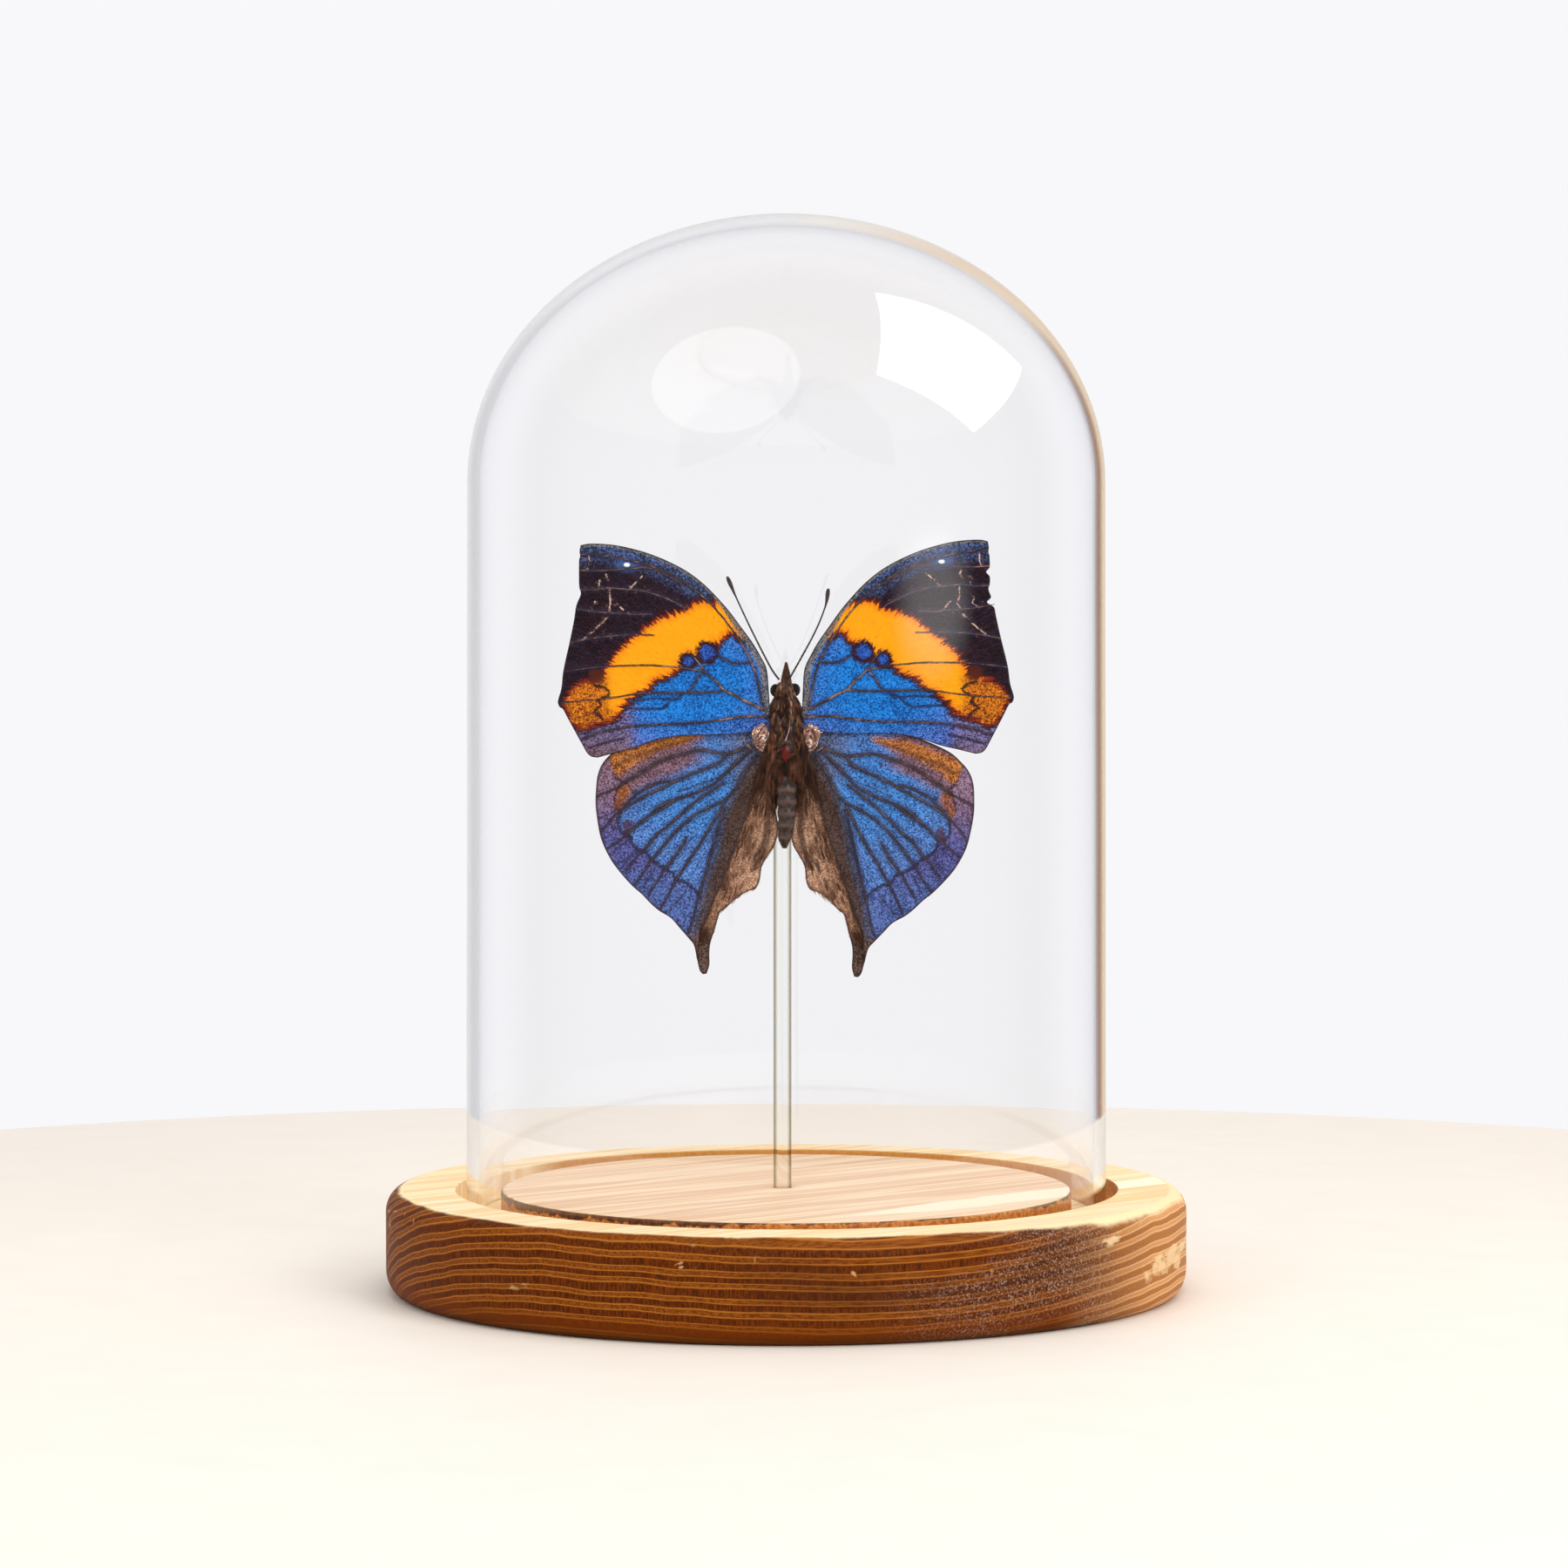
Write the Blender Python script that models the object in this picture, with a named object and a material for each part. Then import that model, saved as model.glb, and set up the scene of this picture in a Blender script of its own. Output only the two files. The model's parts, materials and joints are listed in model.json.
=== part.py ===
"""A set dead-leaf butterfly on a clear rod, under a glass dome that stands in a turned wooden base.

Frame: metres, +Z up, the origin at the middle of the base's underside. The upper side of the
butterfly faces -Y. Dimensions below are in millimetres and are turned into metres by MM.
"""
import math

import bmesh
import bpy
import numpy as np

MM = 0.001

# Driving dimensions ------------------------------------------------------------------------------
GAP = 0.3                    # clearance between touching pieces
BASE_RADIUS = 75.0
BASE_HEIGHT = 19.0
BASE_FOOT_RADIUS = 72.0
BASE_TOP_RADIUS = 71.8
GROOVE_INNER_RADIUS = 53.5
GROOVE_OUTER_RADIUS = 62.0
GROOVE_DEPTH = 5.0
DOME_RADIUS = 60.0           # outer, at the rim
DOME_SHOULDER_RADIUS = 59.5
DOME_SHOULDER_Z = 151.0
DOME_TOP_Z = 201.0
DOME_WALL = 2.2
ROD_X = -0.7
ROD_RADIUS = 1.7
ROD_TOP_Z = 108.5
ROD_SEAT_DEPTH = 8.0
WING_THICKNESS = 0.35
FOREWING_Y = -7.9            # where the forewings leave the body
HINDWING_Y = -6.9
DIHEDRAL = 0.06              # how much the wings come forward for each millimetre outwards
ANAL_FOLD_DEPTH = 1.7        # the hindwings' inner margins bend back around the abdomen
RIGHT_FOREWING_TURN = 1.3    # degrees, raised above the left one
RIGHT_HINDWING_TURN = -3.0   # degrees, drawn in towards the abdomen

TURNED_SEGMENTS = 64
WING_ALONG = 22
WING_ACROSS = 10

# Left wings in the X, Z plane, from the root outwards ----------------------------------------------
FOREWING_ROOT = (-3.3, 106.5)
FOREWING_COSTA = [
    (-3.3, 108.6), (-3.5, 115.0), (-5.4, 120.1), (-9.4, 125.7), (-14.0, 130.9),
    (-20.3, 135.6), (-27.7, 138.5), (-33.8, 139.5), (-37.9, 139.3),
]
FOREWING_HIND = [
    (-3.3, 104.4), (-6.1, 104.6), (-11.0, 104.2), (-16.3, 104.1), (-20.3, 103.9),
    (-24.4, 103.1), (-28.4, 101.7), (-31.9, 100.8), (-34.9, 100.0),
]
FOREWING_OUTER = [
    (-37.9, 139.3), (-38.1, 135.2), (-37.9, 130.4), (-39.2, 125.2), (-40.4, 119.4),
    (-41.2, 115.0), (-42.1, 110.5), (-40.9, 108.3), (-38.9, 104.7), (-36.9, 100.9), (-34.9, 100.0),
]
# Torn places on the right forewing's outer margin: height, depth and half-width
RIGHT_NOTCHES = [(133.6, 0.6, 0.7), (128.0, 1.1, 0.7)]
HINDWING_ROOT = (-3.3, 100.4)
HINDWING_OUTER = [
    (-3.4, 103.8), (-12.0, 106.0), (-21.5, 105.4), (-29.4, 102.8), (-33.6, 99.4),
    (-35.2, 93.6), (-34.7, 87.0), (-32.6, 81.2), (-28.6, 76.2), (-23.6, 71.5),
    (-19.9, 68.4), (-17.2, 65.0), (-16.6, 61.9), (-15.7, 59.5),
]
HINDWING_INNER = [
    (-3.2, 99.5), (-3.1, 94.9), (-2.0, 90.0), (-1.5, 86.3), (-2.2, 83.4),
    (-4.2, 80.4), (-5.1, 76.6), (-6.9, 75.1), (-9.5, 73.4), (-12.2, 71.2),
    (-13.3, 67.8), (-14.2, 64.6), (-14.3, 61.9), (-14.7, 59.5),
]
ANAL_CREASE = [(-4.6, 99.6), (-14.0, 85.0), (-16.0, 68.6)]

# The body, as rings: height, middle in X and Y, half-width and half-depth -----------------------
THORAX_RINGS = [
    (110.6, -0.2, -7.4, 0.9, 0.9), (110.3, -0.2, -7.4, 1.7, 1.6), (109.2, -0.1, -7.1, 2.3, 2.5),
    (107.0, 0.0, -6.8, 2.6, 3.1), (104.0, 0.1, -6.6, 2.8, 3.4), (101.5, 0.1, -6.7, 2.7, 3.1),
    (99.6, 0.0, -6.9, 2.4, 2.4), (99.1, 0.0, -6.9, 1.5, 1.5),
]
ABDOMEN_RINGS = [
    (98.7, 0.0, -7.4, 1.2, 1.3), (98.2, 0.0, -7.4, 1.7, 1.7), (95.5, 0.0, -7.9, 1.75, 1.7),
    (91.0, 0.15, -8.0, 1.7, 1.6), (87.5, 0.0, -8.0, 1.45, 1.4), (84.6, -0.3, -8.0, 1.05, 1.05),
    (83.1, -0.3, -8.0, 0.4, 0.4),
]
HEAD_RINGS = [
    (113.9, -0.2, -7.4, 0.8, 0.8), (113.4, -0.2, -7.4, 1.5, 1.3), (112.4, -0.2, -7.4, 2.0, 1.7),
    (111.6, -0.2, -7.4, 1.9, 1.6), (110.9, -0.2, -7.4, 0.8, 0.8),
]
EYE_RADIUS = 1.0
EYES = {"left": (-1.95, -7.7, 112.4), "right": (1.6, -7.7, 112.5)}
# Palps and legs run from the body to their tips; antennae end in a slim club
PALP_MIDDLE_X = 0.0
PALP_PATH = [(0.8, -7.5, 114.25), (0.72, -7.7, 115.4), (0.44, -7.9, 116.5), (0.3, -8.0, 117.4)]
PALP_RADII = (0.62, 0.54, 0.28, 0.12)
ANTENNA_PATHS = {
    "left": [(-1.3, -8.4, 114.4), (-3.0, -8.6, 116.9), (-6.5, -9.0, 123.8), (-9.3, -9.3, 129.8),
             (-10.9, -9.5, 133.5)],
    "right": [(0.4, -8.9, 114.2), (0.95, -8.9, 115.2), (5.1, -9.2, 122.8), (7.2, -9.5, 127.9),
              (7.8, -9.7, 131.3)],
}
ANTENNA_RADIUS = 0.16
CLUB_RADIUS = 0.34
CLUB_START = 0.8             # fraction of the length where the club begins
LEG_PATHS = {
    "mid": [(1.9, -2.9, 105.6), (4.6, -2.2, 102.6), (3.6, -1.7, 96.8), (4.1, -1.4, 92.2)],
    "hind": [(1.6, -3.1, 101.2), (4.0, -2.7, 97.8), (3.2, -2.4, 90.8), (3.6, -2.2, 86.6)],
}
LEG_RADII = (0.36, 0.34, 0.22, 0.13)
GLUE_RINGS = [
    (107.2, -0.4, -2.45, 0.9, 0.25), (106.4, -0.4, -2.45, 1.5, 0.32),
    (103.6, -0.4, -2.45, 1.7, 0.32), (101.9, -0.4, -2.45, 0.9, 0.25),
]


# Helpers -------------------------------------------------------------------------------------------
def material(name, color, roughness, metallic=0.0, transmission=0.0, ior=1.5):
    """A Principled material with one colour."""
    made = bpy.data.materials.new(name)
    made.use_nodes = True
    shader = made.node_tree.nodes["Principled BSDF"]
    shader.inputs["Base Color"].default_value = (*color, 1.0)
    shader.inputs["Roughness"].default_value = roughness
    shader.inputs["Metallic"].default_value = metallic
    shader.inputs["Transmission Weight"].default_value = transmission
    shader.inputs["IOR"].default_value = ior
    return made


def piece(name, bm, finish, sharp_angle=35.0):
    """Close a bmesh off as a named object with outward faces and smooth shading."""
    bmesh.ops.recalc_face_normals(bm, faces=bm.faces)
    mesh = bpy.data.meshes.new(name)
    bm.to_mesh(mesh)
    bm.free()
    mesh.materials.append(finish)
    mesh.shade_smooth()
    mesh.set_sharp_from_angle(angle=math.radians(sharp_angle))
    made = bpy.data.objects.new(name, mesh)
    bpy.context.scene.collection.objects.link(made)
    return made


def turned(name, profile, finish):
    """A profile of (radius, height) points, from axis to axis, spun about the Z axis."""
    bm = bmesh.new()
    verts = [bm.verts.new((radius * MM, 0.0, height * MM)) for radius, height in profile]
    edges = [bm.edges.new(pair) for pair in zip(verts, verts[1:])]
    bmesh.ops.spin(
        bm, geom=verts + edges, cent=(0, 0, 0), axis=(0, 0, 1),
        angle=math.tau, steps=TURNED_SEGMENTS, use_merge=True,
    )
    bmesh.ops.remove_doubles(bm, verts=bm.verts, dist=1e-6)
    return piece(name, bm, finish)


def arc(centre, radii, start, end, count):
    """Points on an ellipse from one angle to another, in degrees."""
    angles = np.radians(np.linspace(start, end, count))
    return [
        (centre[0] + radii[0] * math.cos(a), centre[1] + radii[1] * math.sin(a)) for a in angles
    ]


def smooth_path(points, count):
    """Evenly spaced parameters on the Catmull-Rom curve through the given points."""
    inner = np.asarray(points, dtype=float)
    padded = np.vstack((2 * inner[0] - inner[1], inner, 2 * inner[-1] - inner[-2]))
    place = np.linspace(0.0, len(inner) - 1.0, count)
    index = np.minimum(place.astype(int), len(inner) - 2)
    t = (place - index)[:, None]
    a, b, c, d = (padded[index + k] for k in range(4))
    return 0.5 * (2 * b + (c - a) * t + (2 * a - 5 * b + 4 * c - d) * t**2
                  + (3 * b - a - 3 * c + d) * t**3)


def skinned(name, rings, finish, sides):
    """Rings of points joined by quads, with both ends capped."""
    bm = bmesh.new()
    loops = [[bm.verts.new(point) for point in ring] for ring in rings]
    for lower, upper in zip(loops, loops[1:]):
        for k in range(sides):
            following = (k + 1) % sides
            bm.faces.new((lower[k], lower[following], upper[following], upper[k]))
    bm.faces.new(loops[0])
    bm.faces.new(loops[-1])
    return piece(name, bm, finish, sharp_angle=60.0)


def body_form(name, stations, finish, sides=14):
    """Level elliptical rings stacked along Z."""
    angles = np.linspace(0.0, math.tau, sides, endpoint=False)
    rings = [
        [((x + rx * math.cos(a)) * MM, (y + ry * math.sin(a)) * MM, z * MM) for a in angles]
        for z, x, y, rx, ry in stations
    ]
    return skinned(name, rings, finish, sides)


def limb(name, path, radii, finish, sides=6, count=9):
    """A round tube along a smooth path, whose radius is read from radii spread along it."""
    centres = smooth_path(path, count)
    along = np.gradient(centres, axis=0)
    along /= np.linalg.norm(along, axis=1)[:, None]
    across = np.cross(along, (0.0, 1.0, 0.0))
    across /= np.linalg.norm(across, axis=1)[:, None]
    third = np.cross(along, across)
    places = np.linspace(0.0, 1.0, count)
    radius = np.interp(places, np.linspace(0.0, 1.0, len(radii)), radii)
    angles = np.linspace(0.0, math.tau, sides, endpoint=False)
    rings = [
        [
            (centres[k] + radius[k] * (math.cos(a) * across[k] + math.sin(a) * third[k])) * MM
            for a in angles
        ]
        for k in range(count)
    ]
    return skinned(name, rings, finish, sides)


# Base, dome, rod and glue -----------------------------------------------------------------------
def make_base(finish, hole_finish):
    """The turned block: foot, bulged side, flat top, ring groove, disc and the rod's blind hole."""
    floor_z = BASE_HEIGHT - GROOVE_DEPTH
    foot = arc((BASE_FOOT_RADIUS, 4.5), (BASE_RADIUS - BASE_FOOT_RADIUS, 4.5), -90, 0, 5)
    shoulder = arc(
        (BASE_TOP_RADIUS, BASE_HEIGHT - 4.0), (BASE_RADIUS - BASE_TOP_RADIUS, 4.0), 0, 90, 6,
    )
    groove = [
        (GROOVE_OUTER_RADIUS, BASE_HEIGHT), (GROOVE_OUTER_RADIUS, floor_z),
        (GROOVE_INNER_RADIUS, floor_z), (GROOVE_INNER_RADIUS, BASE_HEIGHT),
    ]
    base = turned("wooden_base", [(0.0, 0.0)] + foot + shoulder + groove + [(0.0, BASE_HEIGHT)],
                  finish)
    cutter_bm = bmesh.new()
    bmesh.ops.create_cone(
        cutter_bm, cap_ends=True, segments=20, radius1=(ROD_RADIUS + GAP) * MM,
        radius2=(ROD_RADIUS + GAP) * MM, depth=2 * ROD_SEAT_DEPTH * MM,
    )
    cutter = piece("rod_hole_cutter", cutter_bm, hole_finish)
    cutter.location = (ROD_X * MM, 0.0, BASE_HEIGHT * MM)
    cutter.hide_render = True
    cutter.display_type = "WIRE"
    cut = base.modifiers.new("rod_hole", "BOOLEAN")
    cut.operation = "DIFFERENCE"
    cut.object = cutter
    cut.solver = "EXACT"
    return base


def make_dome(finish):
    """The blown dome: straight wall, half-ellipse cap, even wall and a rounded open rim."""
    rim_z = BASE_HEIGHT - GROOVE_DEPTH + GAP
    cap = DOME_TOP_Z - DOME_SHOULDER_Z
    rim_middle = DOME_RADIUS - DOME_WALL / 2
    outer = [(DOME_RADIUS, rim_z + DOME_WALL / 2)] + arc(
        (0.0, DOME_SHOULDER_Z), (DOME_SHOULDER_RADIUS, cap), 0, 90, 11,
    )
    inner = arc(
        (0.0, DOME_SHOULDER_Z), (DOME_SHOULDER_RADIUS - DOME_WALL, cap - DOME_WALL), 90, 0, 11,
    ) + [(DOME_RADIUS - DOME_WALL, rim_z + DOME_WALL / 2)]
    rim = arc((rim_middle, rim_z + DOME_WALL / 2), (DOME_WALL / 2, DOME_WALL / 2), 180, 360, 5)
    outer[-1] = (0.0, DOME_TOP_Z)
    inner[0] = (0.0, DOME_TOP_Z - DOME_WALL)
    turned("glass_dome", inner + rim[1:-1] + outer, finish)


# Wings ---------------------------------------------------------------------------------------------
def forewing_outline_surface():
    """Coons patch between the costa, the hind margin and the outer margin, in X and Z."""
    costa = smooth_path(FOREWING_COSTA, WING_ALONG)[:, None, :]
    hind = smooth_path(FOREWING_HIND, WING_ALONG)[:, None, :]
    outer = smooth_path(FOREWING_OUTER, WING_ACROSS * 2)[None, :, :]
    u = np.linspace(0.0, 1.0, WING_ALONG)[:, None, None]
    v = np.linspace(0.0, 1.0, WING_ACROSS * 2)[None, :, None]
    chord = (1 - v) * outer[:, :1] + v * outer[:, -1:]
    return (1 - v) * costa + v * hind + u**2 * (outer - chord)


def notched(flat):
    """Push the outer margin in at the torn places, fading within the last quarter of the wing."""
    reach = np.clip(np.linspace(-3.0, 1.0, flat.shape[0]), 0.0, 1.0)[:, None]
    for height, depth, half_width in RIGHT_NOTCHES:
        dip = depth * np.exp(-((flat[..., 1] - height) / half_width) ** 2)
        flat[..., 0] += dip * reach
    return flat


def hindwing_outline_surface():
    """Straight rungs between the outer and the inner margin, in X and Z."""
    outer = smooth_path(HINDWING_OUTER, WING_ALONG + 6)[:, None, :]
    inner = smooth_path(HINDWING_INNER, WING_ALONG + 6)[:, None, :]
    v = np.linspace(0.0, 1.0, WING_ACROSS)[None, :, None]
    return (1 - v) * outer + v * inner


def distance_inside(flat, line):
    """How far each point lies on the inner side of a line from the root to the tail."""
    path = smooth_path(line, 24)
    offset = flat[:, :, None, :] - path
    nearest = np.argmin((offset**2).sum(-1), axis=-1)
    step = np.gradient(path, axis=0)
    step /= np.linalg.norm(step, axis=1)[:, None]
    picked = np.take_along_axis(offset, nearest[..., None, None], axis=2)[:, :, 0]
    direction = step[nearest]
    return direction[..., 0] * picked[..., 1] - direction[..., 1] * picked[..., 0]


def wing_depths(flat, start_y, fold):
    """Y of the wing: forward with distance from the body, back inside the anal crease."""
    depth = start_y - DIHEDRAL * (np.abs(flat[..., 0]) - 3.3)
    if fold:
        inside = np.clip(distance_inside(flat, ANAL_CREASE) / 3.0, 0.0, 1.0)
        depth += ANAL_FOLD_DEPTH * inside**2 * (3 - 2 * inside)
    return depth


def wing(name, flat, depth, root, side, turn, finish):
    """A thin plate through the flat points, mirrored for the right side and turned about its root."""
    angle = math.radians(turn)
    offset = flat - root
    offset[..., 0] *= -side
    x = -side * root[0] + offset[..., 0] * math.cos(angle) - offset[..., 1] * math.sin(angle)
    z = root[1] + offset[..., 0] * math.sin(angle) + offset[..., 1] * math.cos(angle)
    bm = bmesh.new()
    grid = [
        [bm.verts.new((x[i, j] * MM, depth[i, j] * MM, z[i, j] * MM)) for j in range(flat.shape[1])]
        for i in range(flat.shape[0])
    ]
    for first, second in zip(grid, grid[1:]):
        for k in range(len(first) - 1):
            bm.faces.new((first[k], first[k + 1], second[k + 1], second[k]))
    made = piece(name, bm, finish)
    solidify = made.modifiers.new("thickness", "SOLIDIFY")
    solidify.thickness = WING_THICKNESS * MM
    solidify.offset = 0.0
    return made


def make_wings(finish):
    """Two forewings in front of two hindwings. Side is -1 on the left and 1 on the right."""
    for label, side in (("left", -1), ("right", 1)):
        fore = forewing_outline_surface()
        if side > 0:
            fore = notched(fore)
        wing("forewing_" + label, fore, wing_depths(fore, FOREWING_Y, False),
             np.array(FOREWING_ROOT), side, RIGHT_FOREWING_TURN if side > 0 else 0.0, finish)
        hind = hindwing_outline_surface()
        wing("hindwing_" + label, hind, wing_depths(hind, HINDWING_Y, True),
             np.array(HINDWING_ROOT), side, RIGHT_HINDWING_TURN if side > 0 else 0.0, finish)


# Body ----------------------------------------------------------------------------------------------
def make_head(finish, eye_finish):
    """The head with a socket on each side, and a round eye in each socket."""
    head = body_form("head", HEAD_RINGS, finish)
    for label, (x, y, z) in EYES.items():
        for role, radius in (("eye_", EYE_RADIUS), ("eye_socket_cutter_", EYE_RADIUS + GAP)):
            bm = bmesh.new()
            bmesh.ops.create_uvsphere(bm, u_segments=12, v_segments=8, radius=radius * MM)
            ball = piece(role + label, bm, eye_finish, sharp_angle=60.0)
            ball.location = (x * MM, y * MM, z * MM)
        ball.hide_render = True
        ball.display_type = "WIRE"
        cut = head.modifiers.new("socket_" + label, "BOOLEAN")
        cut.operation = "DIFFERENCE"
        cut.object = ball
        cut.solver = "EXACT"


def make_limbs(finish):
    """Palps, antennae and the two folded pairs of walking legs."""
    for label, side in (("left", -1), ("right", 1)):
        palp = [(side * x + PALP_MIDDLE_X, y, z) for x, y, z in PALP_PATH]
        limb("palp_" + label, palp, PALP_RADII, finish, sides=8, count=7)
        club = np.linspace(0.0, 1.0, 21) > CLUB_START
        radii = np.where(club, CLUB_RADIUS, ANTENNA_RADIUS)
        limb("antenna_" + label, ANTENNA_PATHS[label], radii, finish, count=21)
        for pair, path in LEG_PATHS.items():
            leg = [(side * x, y, z) for x, y, z in path]
            limb("leg_" + pair + "_" + label, leg, LEG_RADII, finish)


def main():
    """Clear the scene and build every piece."""
    for old in list(bpy.data.objects):
        bpy.data.objects.remove(old, do_unlink=True)
    wood = material("turned_wood", (0.80, 0.60, 0.38), 0.6)
    burnt = material("burnt_wood", (0.25, 0.12, 0.04), 0.8)
    glass = material("clear_glass", (1.0, 1.0, 1.0), 0.0, transmission=1.0, ior=1.5)
    acrylic = material("clear_acrylic", (0.98, 1.0, 0.98), 0.05, transmission=1.0, ior=1.49)
    glue = material("clear_glue", (0.95, 0.93, 0.85), 0.15, transmission=1.0, ior=1.47)
    hairy = material("brown_hair", (0.10, 0.06, 0.035), 0.9)
    dark = material("dark_horn", (0.05, 0.035, 0.03), 0.5)
    eye = material("black_eye", (0.008, 0.007, 0.008), 0.15)
    scales = material("blue_scales", (0.08, 0.28, 0.65), 0.5, metallic=0.3)
    make_base(wood, burnt)
    make_dome(glass)
    rod_bm = bmesh.new()
    rod_bottom = BASE_HEIGHT - ROD_SEAT_DEPTH + GAP
    bmesh.ops.create_cone(
        rod_bm, cap_ends=True, segments=20, radius1=ROD_RADIUS * MM, radius2=ROD_RADIUS * MM,
        depth=(ROD_TOP_Z - rod_bottom) * MM,
    )
    rod = piece("mounting_rod", rod_bm, acrylic)
    rod.location = (ROD_X * MM, 0.0, (ROD_TOP_Z + rod_bottom) / 2 * MM)
    body_form("glue_bead", GLUE_RINGS, glue, sides=12)
    body_form("thorax", THORAX_RINGS, hairy)
    body_form("abdomen", ABDOMEN_RINGS, hairy)
    make_head(hairy, eye)
    make_limbs(dark)
    make_wings(scales)


main()
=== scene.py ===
"""Looks of a set dead-leaf butterfly on a clear rod, under a glass dome on a turned wooden base.

Shapes are worked out in millimetres, in the frame's own axes, and turned into metres by MM.
Each surface is a function of two parameters on a grid, or a section carried along a path.
"""
import json
import math

import bpy
import numpy as np
from mathutils import Matrix, Vector

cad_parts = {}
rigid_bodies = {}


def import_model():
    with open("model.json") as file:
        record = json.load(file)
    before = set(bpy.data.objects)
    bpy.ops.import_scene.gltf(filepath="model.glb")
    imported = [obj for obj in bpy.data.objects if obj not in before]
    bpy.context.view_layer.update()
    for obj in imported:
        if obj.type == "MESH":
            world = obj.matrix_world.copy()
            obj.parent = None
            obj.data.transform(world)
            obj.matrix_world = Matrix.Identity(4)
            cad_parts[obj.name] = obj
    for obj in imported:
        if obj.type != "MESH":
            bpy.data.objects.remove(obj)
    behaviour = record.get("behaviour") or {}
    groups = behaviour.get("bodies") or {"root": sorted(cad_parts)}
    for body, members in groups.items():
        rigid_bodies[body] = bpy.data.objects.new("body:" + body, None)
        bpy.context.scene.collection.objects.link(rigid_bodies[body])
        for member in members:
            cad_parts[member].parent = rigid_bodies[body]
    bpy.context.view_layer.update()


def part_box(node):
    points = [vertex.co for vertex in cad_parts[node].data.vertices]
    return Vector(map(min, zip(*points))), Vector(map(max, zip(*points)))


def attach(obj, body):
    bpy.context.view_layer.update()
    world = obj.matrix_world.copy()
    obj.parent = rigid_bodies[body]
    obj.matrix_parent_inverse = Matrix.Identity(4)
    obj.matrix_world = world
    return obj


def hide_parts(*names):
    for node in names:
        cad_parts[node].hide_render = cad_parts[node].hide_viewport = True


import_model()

MM = 0.001

# Camera in metres and radians, and the table in millimetres
CAMERA_PLACE = (-0.0004, -0.950, 0.135)
CAMERA_DIP = math.radians(2.43)
CAMERA_LENS = 116.56
TABLE_RADIUS, TABLE_DEPTH, TABLE_EDGE = 330.0, 12.0, 2.0

# Wing scales, the turn of the board's and of the rings' grain, and the curved pith of the rings
SCALE_SIZE = 0.2
BOARD_GRAIN = math.radians(-41.0)
RING_GRAIN = math.radians(-19.05)
PITH_OUT, PITH_DROP, PITH_SLOPE, PITH_BEND = 40.74, 107.99, -0.03638, 0.000470695

# Points of one hair, hairs of each part, and steps round each turned piece
HAIR_POINTS = 7
FOLD_HAIRS, THORAX_HAIRS, ABDOMEN_HAIRS, HEAD_HAIRS = 5200, 8500, 3400, 3600
PALP_HAIRS, LEG_HAIRS = 900, 120
BASE_STEPS, DOME_STEPS, ROD_STEPS, TABLE_STEPS = 320, 200, 64, 160

# Sizes read from the frame -------------------------------------------------------------------------
_, base_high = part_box("wooden_base")
dome_low, dome_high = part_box("glass_dome")
rod_low, rod_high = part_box("mounting_rod")
BASE_RADIUS = base_high.x / MM
BASE_HEIGHT = base_high.z / MM
DOME_RADIUS = dome_high.x / MM
DOME_TOP_Z = dome_high.z / MM
DOME_RIM_Z = dome_low.z / MM
ROD_X = (rod_low.x + rod_high.x) / 2 / MM
ROD_RADIUS = (rod_high.x - rod_low.x) / 2 / MM
ROD_BOTTOM_Z = rod_low.z / MM
ROD_TOP_Z = rod_high.z / MM

# Base and dome -------------------------------------------------------------------------------------
FOOT_RADIUS = 72.0
TOP_RADIUS = 71.8
GROOVE_INNER_RADIUS = 53.5
GROOVE_OUTER_RADIUS = 62.0
GROOVE_DEPTH = 5.0
ROD_HOLE_RADIUS = 2.0
ROD_HOLE_DEPTH = 8.0
DOME_SHOULDER_RADIUS = 59.5
DOME_SHOULDER_Z = 151.0
DOME_WALL = 2.2

# Wings, as the left pair lies flat in X and Z ------------------------------------------------------
WING_THICKNESS = 0.16
DIHEDRAL = 0.06
FOREWING = {"root": (-3.3, 106.5), "start_y": -7.9, "turn": 1.3}
HINDWING = {"root": (-3.3, 100.4), "start_y": -6.9, "turn": -3.0}
FOREWING_GRID = (190, 170)
HINDWING_GRID = (190, 150)
COSTA = [
    (-3.0, 108.8), (-3.2, 112.3), (-3.6, 116.3), (-4.7, 118.7), (-6.3, 121.4), (-8.5, 124.4),
    (-10.6, 127.2), (-12.8, 129.7), (-15.2, 132.1), (-18.2, 134.4), (-21.7, 136.3), (-25.7, 137.9),
    (-29.8, 139.0), (-33.0, 139.5), (-36.3, 139.6), (-37.9, 139.3),
]
FOREWING_HIND = [
    (-3.0, 104.4), (-6.1, 104.6), (-11.0, 104.2), (-16.3, 104.1), (-20.3, 103.9), (-24.4, 103.1),
    (-28.4, 101.7), (-31.9, 100.8), (-34.9, 100.0),
]
FOREWING_OUTER = [
    (-37.9, 139.3), (-38.1, 138.2), (-38.0, 137.2), (-38.2, 136.3), (-38.2, 132.0), (-37.9, 130.3),
    (-38.7, 128.2), (-39.2, 125.2), (-40.0, 121.2), (-40.8, 117.7), (-41.2, 115.5), (-41.5, 112.8),
    (-42.1, 110.5), (-41.8, 109.4), (-41.2, 109.0), (-40.2, 107.1), (-38.9, 104.7), (-37.6, 102.3),
    (-36.8, 100.9), (-36.0, 100.2), (-34.9, 100.0),
]
RIGHT_NOTCHES = [(133.6, 0.7, 0.55), (128.0, 1.2, 0.6)]
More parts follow.
